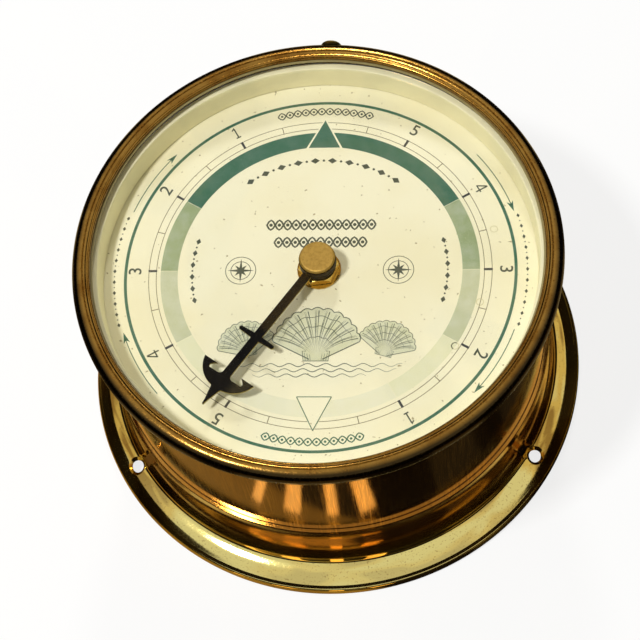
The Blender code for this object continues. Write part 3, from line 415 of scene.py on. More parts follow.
def spun_brass(name, bright, deep, roughness, tarnish, smear_size=18 * MM, collar_reflection=None, rim=None, pits=0.0,
               pale=None):
    """Spun and polished brass: fine rings from the tool, smears in the gloss and browned lacquer.

    A flange has arcs of pale brass, a painted highlight of pale brass over its front and a painted warm
    reflection on its collar, and a rim has a painted dark reflection outwards and is pitted by salt."""
    made, tree, shader, place = start_material(name, roughness, metallic=1.0)
    # Tool rings 0.4 mm apart, coarser than the real ones so that they show
    rings = add_node(tree, "TexNoise", "Fac", {"Vector": lathe_place(tree, place, 0.6, 2600.0, 2600.0),
                                               "Scale": 1.0, "Detail": 3.0})
    smear = add_node(tree, "TexNoise", "Fac", {"Vector": place, "Scale": 1 / smear_size, "Detail": 5.0})
    grain = add_node(tree, "TexNoise", "Fac", {"Vector": place, "Scale": 1 / (0.7 * MM), "Detail": 3.0})
    base = lay_over(tree, bright, deep, smear, 0.42, 0.72, tarnish)
    if pale:
        # Arcs 4 mm wide of thick and thin lacquer, and a painted highlight of pale brass all over the front,
        # from Y -40 to -85 mm
        arcs = add_node(tree, "TexNoise", "Fac", {"Vector": lathe_place(tree, place, 2.6, 230.0, 150.0),
                                                  "Scale": 1.0, "Detail": 2.0, "Distortion": 0.4})
        base = lay_over(tree, base, deep, arcs, 0.47, 0.41, 0.70)
        base = lay_over(tree, base, pale, arcs, 0.50, 0.58, 0.75)
        # Painted highlight: pale brass over the flange's front
        highlight_front = add_node(tree, "SeparateXYZ", "Y", {"Vector": place})
        base = lay_over(tree, base, pale, highlight_front, -40 * MM, -85 * MM, 0.65)
    if collar_reflection:
        # Painted warm reflection: the collar turns orange from 10 to 15 mm up
        height = add_node(tree, "SeparateXYZ", "Z", {"Vector": place})
        base = lay_over(tree, base, collar_reflection, height, 10 * MM, 15 * MM, 0.85)
    base = lay_over(tree, base, deep, grain, 0.58, 0.72, 0.35 + pits)
    # Painted dark reflection: a rim's outer edge darkens to near black between two radii
    if rim:
        base = lay_over(tree, base, linear("#1B1A12"), lathe_radius(tree, place)[1], *rim, 0.9)
    smeared = add_node(tree, "MapRange", "Result", {"Value": smear, "From Min": 0.3, "From Max": 0.7,
                                                    "To Min": roughness, "To Max": roughness + 0.06})
    grained = add_node(tree, "MapRange", "Result", {"Value": grain, "From Min": 0.5, "From Max": 0.8,
                                                    "To Max": 0.04 + 0.3 * pits})
    gloss = add_node(tree, "Math", 0, {0: smeared, 1: grained}, operation="ADD")
    relief = add_node(tree, "Math", 0, {0: grain, 1: pits * 4.0, 2: rings}, operation="MULTIPLY_ADD")
    bump = add_node(tree, "Bump", "Normal", {"Height": relief, "Distance": 0.02 * MM, "Strength": 0.35})
    fill(tree, shader, {"Base Color": base, "Roughness": gloss, "Normal": bump})
    return made


def brushed_brass(settings):
    """Brushed brass of the drum: fine streaks up and down under a dark, browned lacquer."""
    made, tree, shader, place = start_material("Brass_brushed_and_lacquered", 0.2, metallic=1.0)
    # Browned patches of lacquer 11 mm wide and 70 mm high, and streaks 0.25 mm wide and 14 mm long, which is
    # coarser than real ones so that they show
    wide = add_node(tree, "TexNoise", "Fac", {"Vector": lathe_place(tree, place, 7.0, 0.0, 14.0),
                                              "Scale": 1.0, "Detail": 3.0})
    fine = add_node(tree, "TexNoise", "Fac", {"Vector": lathe_place(tree, place, 330.0, 0.0, 70.0),
                                              "Scale": 1.0, "Detail": 5.0, "Distortion": 0.6})
    base = lay_over(tree, settings.drum, settings.drum_streak, fine, 0.46, 0.66, 1.0)
    base = lay_over(tree, base, settings.drum, wide, 0.44, 0.60, 0.65)
    roughen(tree, shader, base, fine, 0.05, 0.18, 0.03 * MM, 0.25)
    return made


def printed_ink(name, tone, mottle=0.25):
    """Screen printed ink: matt, a little uneven, with the card's tooth showing through."""
    made, tree, shader, place = start_material(name, 0.6)
    wash = add_node(tree, "TexNoise", "Fac", {"Vector": place, "Scale": 1 / (5 * MM), "Detail": 7.0})
    tooth = add_node(tree, "TexNoise", "Fac", {"Vector": place, "Scale": 1 / (0.35 * MM), "Detail": 2.0})
    thin = tuple(part + (1.0 - part) * 0.35 for part in tone)
    base = lay_over(tree, tone, thin, wash, 0.35, 0.75, mottle)
    base = lay_over(tree, base, thin, tooth, 0.55, 0.80, mottle)
    bump = add_node(tree, "Bump", "Normal", {"Height": tooth, "Distance": 0.02 * MM, "Strength": 0.3})
    fill(tree, shader, {"Base Color": base, "Normal": bump})
    return made


def dial_card(settings):
    """Coated dial card: warm cream, faintly clouded with age, with a fine tooth and a few brown flecks."""
    made, tree, shader, place = start_material("Dial_card_coated", 0.42)
    cloud = add_node(tree, "TexNoise", "Fac", {"Vector": place, "Scale": 1 / (30 * MM), "Detail": 5.0})
    tooth = add_node(tree, "TexNoise", "Fac", {"Vector": place, "Scale": 1 / (0.4 * MM), "Detail": 2.0})
    fleck = add_node(tree, "TexNoise", "Fac", {"Vector": place, "Scale": 1 / (1.6 * MM), "Detail": 1.0})
    aged = tuple(part * shade for part, shade in zip(settings.cream, (0.93, 0.90, 0.80)))
    base = lay_over(tree, settings.cream, aged, cloud, 0.40, 0.70, 0.7)
    base = lay_over(tree, base, linear("#8C7A48"), fleck, 0.73, 0.76, 0.7)
    bump = add_node(tree, "Bump", "Normal", {"Height": tooth, "Distance": 0.01 * MM, "Strength": 0.3})
    fill(tree, shader, {"Base Color": base, "Normal": bump})
    return made


def painted_metal(name, tone, roughness, relief, shine=0.5):
    """Sprayed paint on sheet metal: orange peel and faint clouding."""
    made, tree, shader, place = start_material(name, roughness)
    peel = add_node(tree, "TexNoise", "Fac", {"Vector": place, "Scale": 1 / (1.2 * MM), "Detail": 2.0})
    cloud = add_node(tree, "TexNoise", "Fac", {"Vector": place, "Scale": 1 / (15 * MM), "Detail": 4.0})
    base = lay_over(tree, tone, tuple(part * 0.86 for part in tone), cloud, 0.35, 0.70, 0.8)
    roughen(tree, shader, base, peel, roughness - 0.06, roughness + 0.08, relief, 0.5)
    fill(tree, shader, {"Specular IOR Level": shine})
    return made


def moulded_plastic(name, tone, roughness):
    """Injection moulded plastic: a fine spark texture from the mould, and faint marks of its flow."""
    made, tree, shader, place = start_material(name, roughness)
    spark = add_node(tree, "TexNoise", "Fac", {"Vector": place, "Scale": 1 / (0.5 * MM), "Detail": 2.0})
    flow = add_node(tree, "TexNoise", "Fac", {"Vector": place, "Scale": 1 / (9 * MM), "Detail": 3.0})
    base = lay_over(tree, tone, tuple(min(part * 1.25 + 0.01, 1.0) for part in tone), flow, 0.35, 0.70, 1.0)
    roughen(tree, shader, base, spark, roughness - 0.05, roughness + 0.10, 0.03 * MM, 0.6)
    return made


def bright_steel(name, tone, roughness, grain):
    """Rolled or drawn steel: fine marks along its length and a few dull patches."""
    made, tree, shader, place = start_material(name, roughness, metallic=1.0)
    drawn = add_node(tree, "Mapping", "Vector", {"Vector": place, "Scale": (1.0, 0.08, 1.0)})
    marks = add_node(tree, "TexNoise", "Fac", {"Vector": drawn, "Scale": 1 / grain, "Detail": 3.0})
    patch = add_node(tree, "TexNoise", "Fac", {"Vector": place, "Scale": 1 / (5 * MM), "Detail": 3.0})
    base = lay_over(tree, tone, tuple(part * 0.7 for part in tone), patch, 0.40, 0.70, 0.8)
    roughen(tree, shader, base, marks, roughness - 0.06, roughness + 0.12, 0.02 * MM, 0.4)
    return made


def window_glass():
    """Flat mineral glass: it mirrors by the angle of view, and is clear but for a trace of dust."""
    made, tree, shader, place = start_material("Glass_float_polished", 0.02, metallic=1.0)
    # The mirrored share rises from 4% face on to all of it edge on, with the fifth power of the slant
    slant = add_node(tree, "LayerWeight", "Facing", {"Blend": 0.5})
    fifth = add_node(tree, "Math", 0, {0: slant, 1: 5.0}, operation="POWER")
    mirror = add_node(tree, "MapRange", "Result", {"Value": fifth, "To Min": 0.04, "To Max": 1.0})
    dust = add_node(tree, "TexNoise", "Fac", {"Vector": place, "Scale": 1 / (0.8 * MM), "Detail": 3.0})
    haze = add_node(tree, "MapRange", "Result", {"Value": dust, "From Min": 0.60, "From Max": 0.80,
                                                 "To Max": 0.03})
    cover = add_node(tree, "Math", 0, {0: mirror, 1: haze}, operation="ADD")
    gloss = add_node(tree, "MapRange", "Result", {"Value": dust, "From Min": 0.3, "From Max": 0.7,
                                                  "To Min": 0.01, "To Max": 0.05})
    fill(tree, shader, {"Base Color": (0.93, 0.96, 0.94), "Roughness": gloss, "Alpha": cover})
    return made


# The case

class TIDE_OT_flange(bpy.types.Operator):
    """Spin the mounting flange and drill its countersunk screw holes"""

    bl_idname = "tide.flange"
    bl_label = "Mounting Flange"

    def execute(self, context):
        case = context.scene.tide_case
        tones = context.scene.tide_finish
        collar = case.collar_radius
        lip = 0.0002
        seat = DRUM_RADIUS + 0.00004
        roll = 0.0012
        # From the collar's top down its cove, and out over the crowned face
        line = smooth_line([
            (collar, COLLAR_TOP - lip), (collar, 0.0258), (collar + 0.0008, 0.0180), (collar + 0.0014, 0.0125),
            (collar + 0.00216, 0.00944), (collar + 0.0033, 0.0080), (collar + 0.0067, 0.0068),
            (collar + 0.0101, 0.0046),
        ], 8)
        inner = set_in(line, case.sheet)[3:]
        edge = arc((FLANGE_RADIUS - roll, 0.0026), roll, 0.0013, 70, 0, 6)
        edge += [(FLANGE_RADIUS, 0.0004), (FLANGE_RADIUS - 0.0004, FOOT), (FLANGE_RADIUS - 0.0022, FOOT)]
        mouth = [(collar - case.sheet, COLLAR_TOP - 0.0040), (seat, COLLAR_TOP - 0.0035),
                 (seat, COLLAR_TOP - lip), (DRUM_RADIUS + lip, COLLAR_TOP), (collar - lip, COLLAR_TOP)]
        flange = spin_piece("flange_spun", line + edge + inner[::-1] + mouth, case.spin_steps)

        # The drill stands square to the face, which falls 1.2 mm in 3.4 mm, and breaks the countersink's edge
        slope = math.atan2(0.0012, 0.0034)
        hole = case.hole / 2
        sink = case.countersink / 2
        above, below = 0.0010, -0.0040
        drill_line = [(0.0, above), (sink + 0.0012, above), (sink + 0.0004, 0.00005), (sink + 0.0002, -0.00003),
                      (sink, -0.0002), (hole, hole - sink - 0.0002), (hole, below), (0.0, below)]
        # A hole's distance from the axis, and the face's height there
        away, face = collar + 0.0053, 0.0073
        for turn in (91.75, 211.75, 331.75):
            angle = math.radians(turn)
            drill = spin_piece("screw_drill", drill_line, 48)
            drill.data.transform(Matrix.Translation((away * math.cos(angle), away * math.sin(angle), face))
                                 @ Matrix.Rotation(angle, 4, "Z") @ Matrix.Rotation(slope, 4, "Y"))
            carve(flange, drill)
        finish = spun_brass("Brass_spun_and_polished", tones.brass, tones.brass_deep, 0.05, 0.30,
                            collar_reflection=tones.brass_red, pits=0.14, pale=tones.pale)
        dress(flange, "case", finish, "base_flange")
        return {"FINISHED"}


class TIDE_OT_drum(bpy.types.Operator):
    """Spin the brushed drum that stands in the flange's collar"""

    bl_idname = "tide.drum"
    bl_label = "Drum"

    def execute(self, context):
        case = context.scene.tide_case
        bore = DRUM_RADIUS - case.drum_wall
        edge = 0.0003
        outline = [(DRUM_RADIUS - 0.0004, DRUM_TOP), (DRUM_RADIUS, DRUM_TOP - 0.0004),
                   (DRUM_RADIUS, DRUM_BOTTOM + edge), (DRUM_RADIUS - edge, DRUM_BOTTOM),
                   (bore + edge, DRUM_BOTTOM), (bore, DRUM_BOTTOM + edge), (bore, DRUM_TOP)]
        drum = spin_piece("drum_brushed", outline, case.spin_steps)
        dress(drum, "case", brushed_brass(context.scene.tide_finish), "case_drum")
        return {"FINISHED"}


class TIDE_OT_bezel(bpy.types.Operator):
    """Spin the bezel with its rolled rim, and turn its pull button"""

    bl_idname = "tide.bezel"
    bl_label = "Bezel"

    def execute(self, context):
        case = context.scene.tide_case
        tones = context.scene.tide_finish
        lip = case.lip_radius
        skirt = case.skirt_radius
        widest = case.rim_widest
        edge = 0.0003
        bore = DRUM_RADIUS + edge
        lip_bottom = GASKET_TOP + edge
        # The rolled bead of the lip, a groove, the crown out to the widest line, and down to the skirt
        outline = arc((lip + 0.0008, RIM_TOP - 0.0012), 0.0008, 0.0007, 180, 100, 6)
        outline += [(lip + 0.0012, RIM_TOP - 0.0006), (lip + 0.0015, RIM_TOP - edge)]
        outline += arc((lip + 0.0026, widest), RIM_RADIUS - lip - 0.0026, RIM_TOP - widest, 100, 0, 20)
        outline += arc((skirt, widest), RIM_RADIUS - skirt, 0.0041, 0, -90, 14)[1:]
        outline += [(skirt, SKIRT_BOTTOM + edge), (skirt - edge, SKIRT_BOTTOM), (bore, SKIRT_BOTTOM),
                    (bore, lip_bottom), (lip, lip_bottom)]
        bezel = spin_piece("bezel_rolled", outline, case.spin_steps)
        # The bezel's outer edge, from 79.6 to 81.1 mm, darkens as a painted dark reflection
        finish = spun_brass("Brass_spun_and_rolled", linear("#8E6A2E"), tones.brass_deep, 0.13, 0.9, 9 * MM,
                            rim=(79.6 * MM, 81.1 * MM), pits=0.7)
        dress(bezel, "bezel", finish, "bezel_ring")

        low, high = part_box("bezel_nub")
        radius = (high.z - low.z) / 2
        crown, shank, root = 0.0011, 0.0009, -0.0024
        dome = arc((0.0, 0.0), radius, crown, 90, 0, 10)
        outline = [(0.0, crown)] + dome[1:]
        outline += [(radius - 0.0002, -0.0001), (shank, -0.0001), (shank, root), (0.0, root)]
        nub = spin_piece("pull_button", outline, 48)
        nub.data.transform(Matrix.Rotation(math.radians(-1.5), 4, "Z")
                           @ Matrix.Translation((0.0, RIM_RADIUS + edge, (low.z + high.z) / 2))
                           @ Matrix.Rotation(math.radians(-90), 4, "X"))
        worn = spun_brass("Brass_turned_and_worn", tones.pale, tones.brass, 0.32, 0.8, 2 * MM, pits=0.3)
        dress(nub, "bezel", worn, "bezel_nub")
        return {"FINISHED"}


class TIDE_OT_glass(bpy.types.Operator):
    """Model the glass, its gasket and the cream ring round the dial"""

    bl_idname = "tide.glass"
    bl_label = "Glass And Wall Ring"

    def execute(self, context):
        case = context.scene.tide_case
        tones = context.scene.tide_finish
        edge = 0.0002
        glass = spin_piece("glass_pane", [(0.0, GLASS_TOP), (DRUM_RADIUS - edge, GLASS_TOP),
                                          (DRUM_RADIUS, GLASS_TOP - edge), (DRUM_RADIUS, GLASS_BOTTOM + edge),
                                          (DRUM_RADIUS - edge, GLASS_BOTTOM), (0.0, GLASS_BOTTOM)],
                           case.spin_steps)
        dress(glass, "bezel", window_glass(), "glass_lens")

        bead, width = 0.0001, 0.0011
        ring = [(DRUM_RADIUS - width, GASKET_TOP - bead), (DRUM_RADIUS - width + bead, GASKET_TOP),
                (DRUM_RADIUS, GASKET_TOP), (DRUM_RADIUS, GASKET_BOTTOM),
                (DRUM_RADIUS - width + bead, GASKET_BOTTOM), (DRUM_RADIUS - width, GASKET_BOTTOM + bead)]
        gasket = spin_piece("gasket_cord", ring, case.spin_steps)
        rubber = moulded_plastic("Rubber_moulded_gasket", linear("#8A7D4C"), 0.55)
        dress(gasket, "bezel", rubber, "glass_gasket")

        # A brim on the drum's top, a sleeve down to the dial, and the soft cream face inside
        brim = WALL_TOP - 0.0006
        inner = DIAL_RADIUS - 0.0011
        outline = [(DRUM_RADIUS, WALL_TOP), (DRUM_RADIUS, brim), (DIAL_RADIUS, brim),
                   (DIAL_RADIUS, WALL_BOTTOM + 0.0009), (DIAL_RADIUS - 0.0005, WALL_BOTTOM),
                   (inner, WALL_BOTTOM)]
        outline += smooth_line([(inner, WALL_BOTTOM + 0.0002), (DIAL_RADIUS - 0.0008, WALL_BOTTOM + 0.0050),
                                (DIAL_RADIUS - 0.0006, brim), (DIAL_RADIUS + 0.0001, WALL_TOP)], 4)
        wall = spin_piece("wall_ring_cream", outline, case.spin_steps)
        dress(wall, "case", painted_metal("Paint_sprayed_cream", tones.wall, 0.5, 0.02 * MM), "rehaut_ring")
        return {"FINISHED"}


# The dial

def ink_depth():
    """Return the thickness of a printed layer."""
    return bpy.context.scene.tide_dial.ink


def ink_on(name, pieces, finish):
    """Join printed shapes into one piece of the dial in one ink."""
    return dress(join_pieces(name, pieces), "case", finish)


def printed(name, points, layer, coat=1.0):
    """Fill a printed outline on a layer above the dial's face, in a full or a thinner coat of ink."""
    return raise_shape(name, points, DIAL_FACE + layer, DIAL_FACE + layer + coat * ink_depth())


def flat_ring(name, radius, width, layer, steps=256, centre=(0.0, 0.0)):
    """Spin a thin printed circle."""
    inner, outer = radius - width / 2, radius + width / 2
    base = DIAL_FACE + layer
    top = base + ink_depth()
    return spin_piece(name, [(inner, base), (outer, base), (outer, top), (inner, top)], steps, centre)


def sector(name, inner, outer, start, end, layer):
    """Fill a printed sector between two radii and two clock angles."""
    steps = max(2, round(abs(end - start) / 1.5))
    points = [around(outer, start + (end - start) * step / steps).xy for step in range(steps + 1)]
    points += [around(inner, end + (start - end) * step / steps).xy for step in range(steps + 1)]
    return printed(name, points, layer)


def stroke(name, line, width, layer, taper=False):
    """Fill a printed stroke along a line of (x, y) points, full width or drawn out at its ends."""
    count = len(line) - 1
    left = []
    right = []
    for index, point in enumerate(line):
        before = Vector(line[max(index - 1, 0)])
        after = Vector(line[min(index + 1, count)])
        run = (after - before).normalized()
        share = 0.3 + 0.7 * math.sin(math.pi * index / count) if taper else 1.0
        side = Vector((-run.y, run.x)) * width * share / 2
        left.append(tuple(Vector(point) + side))
        right.append(tuple(Vector(point) - side))
    return printed(name, left + right[::-1], layer)


def wave_line(radius, start, end, swing, pitch, phase=0.0):
    """Return a wave that follows an arc between two clock angles."""
    run = math.radians(abs(end - start)) * radius
    steps = max(8, round(run / pitch * 8))
    line = []
    for step in range(steps + 1):
        clock = start + (end - start) * step / steps
        shift = swing * math.sin(TURN * (run * step / steps / pitch + phase))
        line.append(tuple(around(radius + shift, clock).xy))
    return line


def straight_wave(centre, width, swing, pitch, phase=0.0):
    """Return a level wave centred on a point."""
    steps = max(8, round(width / pitch * 8))
    return [(centre[0] - width / 2 + width * step / steps,
             centre[1] + swing * math.sin(TURN * (width * step / steps / pitch + phase)))
            for step in range(steps + 1)]


class TIDE_OT_dial(bpy.types.Operator):
    """Model the dial plate and print its circles, ticks and coloured band"""

    bl_idname = "tide.dial"
    bl_label = "Dial"

    def execute(self, context):
        dial = context.scene.tide_dial
        tones = context.scene.tide_finish
        hole, edge, line = 0.0044, 0.0002, 0.00022
        # Half widths of an hour's and a half hour's tick, and half the gap between two colours, in degrees
        tick, half_tick, gap = 0.42, 0.14, 0.08
        plate = spin_piece("dial_card", [(hole, DIAL_BACK), (hole, DIAL_FACE), (DIAL_RADIUS - edge, DIAL_FACE),
                                         (DIAL_RADIUS, DIAL_FACE - edge), (DIAL_RADIUS, DIAL_BACK)],
                           context.scene.tide_case.spin_steps)
        dress(plate, "case", dial_card(tones), "dial_plate")

        green = printed_ink("Ink_screened_green", tones.green, 0.12)
        circle = flat_ring("circle", dial.circle, dial.circle_width, FIRST_INK)
        ink_on("print_outer_circle", [circle], green)
        track = [flat_ring("track_line", radius, line, FIRST_INK)
                 for radius in (dial.track_outer, dial.track_inner)]
        track += [sector("half_hour", dial.track_inner, dial.track_outer, clock - half_tick, clock + half_tick,
                         FIRST_INK) for clock in range(15, 360, 30)]
        ink_on("print_hour_track", track, printed_ink("Ink_screened_brown", tones.track, 0.10))
        hours = [sector("hour_tick", dial.track_inner - edge, dial.track_outer + edge, clock - tick,
                        clock + tick, SECOND_INK) for clock in range(30, 360, 30) if clock != 180]
        ink_on("print_hour_ticks", hours, printed_ink("Ink_screened_black", tones.ink, 0.08))

        steps = (("dark", 0, 60, green), ("sage", 60, 90, printed_ink("Ink_screened_sage", tones.sage, 0.45)),
                 ("mist", 90, 120, printed_ink("Ink_screened_mist", tones.mist, 0.5)),
                 ("straw", 120, 150, printed_ink("Ink_screened_straw", tones.straw, 0.4)),
                 ("shell", 150, 180, printed_ink("Ink_screened_shell", tones.shell, 0.4)))
        for name, start, end, finish in steps:
            halves = [sector(f"band_{name}", dial.band_inner, dial.band_outer, side * (start + gap),
                             side * (end - gap), FIRST_INK) for side in (1, -1)]
            ink_on(f"print_band_{name}", halves, finish)
        return {"FINISHED"}


class TIDE_OT_marks(bpy.types.Operator):
    """Print the numerals, the two triangles and the four curved arrows"""

    bl_idname = "tide.marks"
    bl_label = "Numerals And Arrows"

    def execute(self, context):
        dial = context.scene.tide_dial
        tones = context.scene.tide_finish
        # One and four are drawn in strokes, in units of half a numeral's height; the others are plain type
        drawn = {1: (((-0.42, 0.62), (-0.18, 0.76), (0.04, 1.0), (0.04, 0.7), (0.04, -1.0)),
                     ((-0.36, -0.95), (0.44, -0.95))),
                 4: (((0.22, 1.0), (-0.62, -0.38)), ((-0.70, -0.38), (0.66, -0.38)),
                     ((0.26, 1.0), (0.26, -1.0)))}
        half = dial.numeral_height / 2
        numerals = []
        for hour in range(1, 6):
            for clock in (-30 * hour, 180 - 30 * hour):
                if hour in drawn:
                    digit = join_pieces("numeral", [
                        stroke("numeral", [(x * half, y * half) for x, y in line], 0.00046,
                               SECOND_INK + 0.005 * MM * index)
                        for index, line in enumerate(drawn[hour])])
                    height = 0.0
                else:
                    clear_selection()
                    bpy.ops.object.text_add()
                    letter = context.object.data
                    letter.body = str(hour)
                    letter.align_x = letter.align_y = "CENTER"
                    # A numeral is 0.70 of the type's size
                    letter.size = dial.numeral_height / 0.70
                    letter.offset = 0.04 * MM
                    letter.resolution_u = 6
                    letter.extrude = ink_depth() / 2
                    bpy.ops.object.convert(target="MESH")
                    digit = context.object
                    height = DIAL_FACE + SECOND_INK + ink_depth() / 2
                digit.data.transform(Matrix.Translation(around(dial.numeral_radius, clock, height))
                                     @ Matrix.Rotation(-math.radians(clock), 4, "Z"))
                numerals.append(digit)
        ink_on("print_numerals", numerals, printed_ink("Ink_screened_olive", tones.olive, 0.10))

        green = bpy.data.materials["Ink_screened_green"]
        cream = bpy.data.materials["Dial_card_coated"]
        for name, half, foot, tip, layer, finish in (
                ("mark_ground_top", 0.0067, 0.0476, 0.0606, MARK_GROUND, cream),
                ("print_mark_top", 0.0055, 0.0484, 0.0596, MARK_INK, green),
                ("mark_ground_bottom", 0.0062, -0.0468, -0.0600, MARK_GROUND, cream)):
            dress(printed(name, [(-half, foot), (half, foot), (0.0, tip)], layer), "case", finish)
        corners = ((-0.0058, -0.0472), (0.0058, -0.0472), (0.0, -0.0593))
        sides = [stroke("mark_side", [corners[index], corners[(index + 1) % 3]], 0.0003, MARK_INK)
                 for index in range(3)]
        ink_on("print_mark_bottom", sides, green)

        arrows = []
        radius, barb = dial.arrow_radius, 0.0011
        for tail, head in ((-70.6, -48.3), (-131.2, -109.6), (49.9, 71.4), (108.9, 131.0)):
            shaft = [tuple(around(radius, tail + (head - 2.0 - tail) * step / 16).xy) for step in range(17)]
            arrows.append(stroke("arrow_shaft", shaft, 0.00028, FIRST_INK))
            barbs = [around(radius, head).xy, around(radius - barb, head - 3.4).xy,
                     around(radius, head - 2.5).xy, around(radius + barb, head - 3.4).xy]
            arrows.append(printed("arrow_head", barbs, FIRST_INK))
        ink_on("print_arrows", arrows, green)
        return {"FINISHED"}


def dot(centre, radius, layer):
    """Print a round dot."""
    points = [(centre[0] + radius * math.cos(TURN * step / 12), centre[1] + radius * math.sin(TURN * step / 12))
              for step in range(12)]
    return printed("dot", points, layer)


def braid(radius, start, end):
    """Print two crossing waves round an arc, with a dot in each eye."""
    swing, pitch = 0.00135, 0.0057
    pieces = [stroke("strand", wave_line(radius, start, end, swing, pitch, phase), 0.00042, layer)
              for phase, layer in ((0.0, FIRST_INK), (0.5, SECOND_INK))]
    run = math.radians(abs(end - start)) * radius
    eyes = round(run / pitch * 2)
    pieces += [dot(around(radius, start + (end - start) * (eye + 0.5) / eyes).xy, swing * 0.32, FIRST_INK)
               for eye in range(eyes)]
    return pieces


def level_braid(height, eyes):
    """Print two crossing level waves, with a dot in each eye."""
    swing, pitch, thick = 0.0019, 0.0058, 0.00062
    width = eyes * pitch / 2
    pieces = [stroke("strand", straight_wave((0.0, height), width, swing, pitch, phase), thick, layer)
              for phase, layer in ((0.0, FIRST_INK), (0.5, SECOND_INK))]
    return pieces + [dot((width * ((eye + 0.5) / eyes - 0.5), height), thick, FIRST_INK)
                     for eye in range(eyes)]


def lozenges(radius, start, end, count, size):
    """Print lozenges along an arc with a dot between each two."""
    pieces = []
    for index in range(2 * count - 1):
        clock = start + (end - start) * index / (2 * count - 2)
        centre = around(radius, clock).xy
        if index % 2:
            pieces.append(dot(centre, size * 0.28, FIRST_INK))
            continue
        turned = Matrix.Rotation(-math.radians(clock), 2)
        corners = [centre + turned @ Vector(corner) for corner in ((size, 0), (0, size * 0.7), (-size, 0),
                                                                   (0, -size * 0.7))]
        pieces.append(printed("lozenge", corners, FIRST_INK))
    return pieces


def star(side):
    """Print an eight-pointed star in two rings, left or right of the hub."""
    centre = side * 0.0270
    points = []
    for tip in range(16):
        arm = (0.0046, 0.0012, 0.0028, 0.0012)[tip % 4]
        angle = TURN * tip / 16
        points.append((centre + arm * math.sin(angle), arm * math.cos(angle)))
    rings = [flat_ring("star_ring", radius, 0.00022, SECOND_INK, 48, (centre, 0.0))
             for radius in (0.0034, 0.0052)]
    return [printed("star", points, FIRST_INK)] + rings


# Outline of a scallop shell's two ears, at its hinge
EARS = [(-0.0046, 0.0030), (-0.0042, -0.0006), (0.0042, -0.0006), (0.0046, 0.0030)]


def shell_reach(angle, size):
    """Return how far the shell's edge lies from its hinge at an angle."""
    return size * (0.84 + 0.16 * math.cos(angle * 1.25))


def shell_wash(size, spread, ribs):
    """Print the pale ground of a scallop shell and of its two ears, with the hinge at the dial's centre."""
    edge = []
    for step in range(ribs * 8 + 1):
        share = step / (ribs * 8)
        angle = spread * (2 * share - 1)
        away = shell_reach(angle, size) * (1.0 + 0.045 * abs(math.sin(math.pi * share * ribs)))
        edge.append((away * math.sin(angle), away * math.cos(angle)))
    ground = printed("shell_ground", edge + [(0.0022, 0.0), (-0.0022, 0.0)], SHELL_GROUND, 0.5)
    ears = printed("shell_ears", EARS + [(0.0, 0.0036)], FIRST_INK, 0.5)
    return [ground, ears], edge


def shell_lines(edge, size, spread, ribs):
    """Print the ribs, hatching, growth lines and outline of a scallop shell."""
    layer = SHELL_LINES + ink_depth() / 2
    strokes = [stroke("shell_edge", [(-0.0022, 0.0)] + edge + [(0.0022, 0.0)], 0.00034, layer)]
    shares = [step / 6 for step in range(7)]
    for rib in range(ribs):
        angle = spread * (2 * (rib + 0.5) / ribs - 1)
        side = Vector((math.cos(angle), -math.sin(angle)))
        width = 0.62 * spread * size / ribs
        middle = []
        for share in shares:
            along = 0.14 + 0.84 * share
            away = shell_reach(angle, size) * along
            bend = angle * (0.62 + 0.38 * along)
            middle.append(Vector((away * math.sin(bend), away * math.cos(bend))))
        left = [point + side * width * (0.12 + 0.16 * share) for point, share in zip(middle, shares)]
        right = [point + side * width * (0.58 - 0.16 * (1 - share)) * (0.3 + 0.7 * share)
                 for point, share in zip(middle, shares)]
        strokes.append(printed("rib_shade", [tuple(point) for point in left + right[::-1]], layer))
        for shift, first in ((-0.62, 2), (-0.30, 1)):
            hatch = [tuple(point + side * width * shift * (0.3 + 0.7 * share))
                     for point, share in zip(middle, shares)]
            strokes.append(stroke("hatch", hatch[first:], 0.00020, layer, taper=True))
    for ring in (0.45, 0.66, 0.86):
        inner = []
        for step in range(41):
            angle = spread * (2 * step / 40 - 1) * (0.62 + 0.38 * ring)
            away = shell_reach(angle, size) * ring * (1.0 + 0.02 * math.cos(TURN * step / 40 * ribs / 2))
            inner.append((away * math.sin(angle), away * math.cos(angle)))
        strokes.append(stroke("growth_line", inner, 0.00024, layer + 0.01 * MM, taper=True))
    strokes.append(stroke("ear_line", [(-0.0034, 0.0030)] + EARS + [(0.0034, 0.0030)], 0.00026, layer))
    for side in (-1, 1):
        for step in range(3):
            x = side * (0.0018 + 0.0008 * step)
            strokes.append(stroke("ear_hatch", [(x, -0.0004), (x * 1.15, 0.0018 + 0.0003 * step)], 0.00014,
                                  layer))
    return strokes


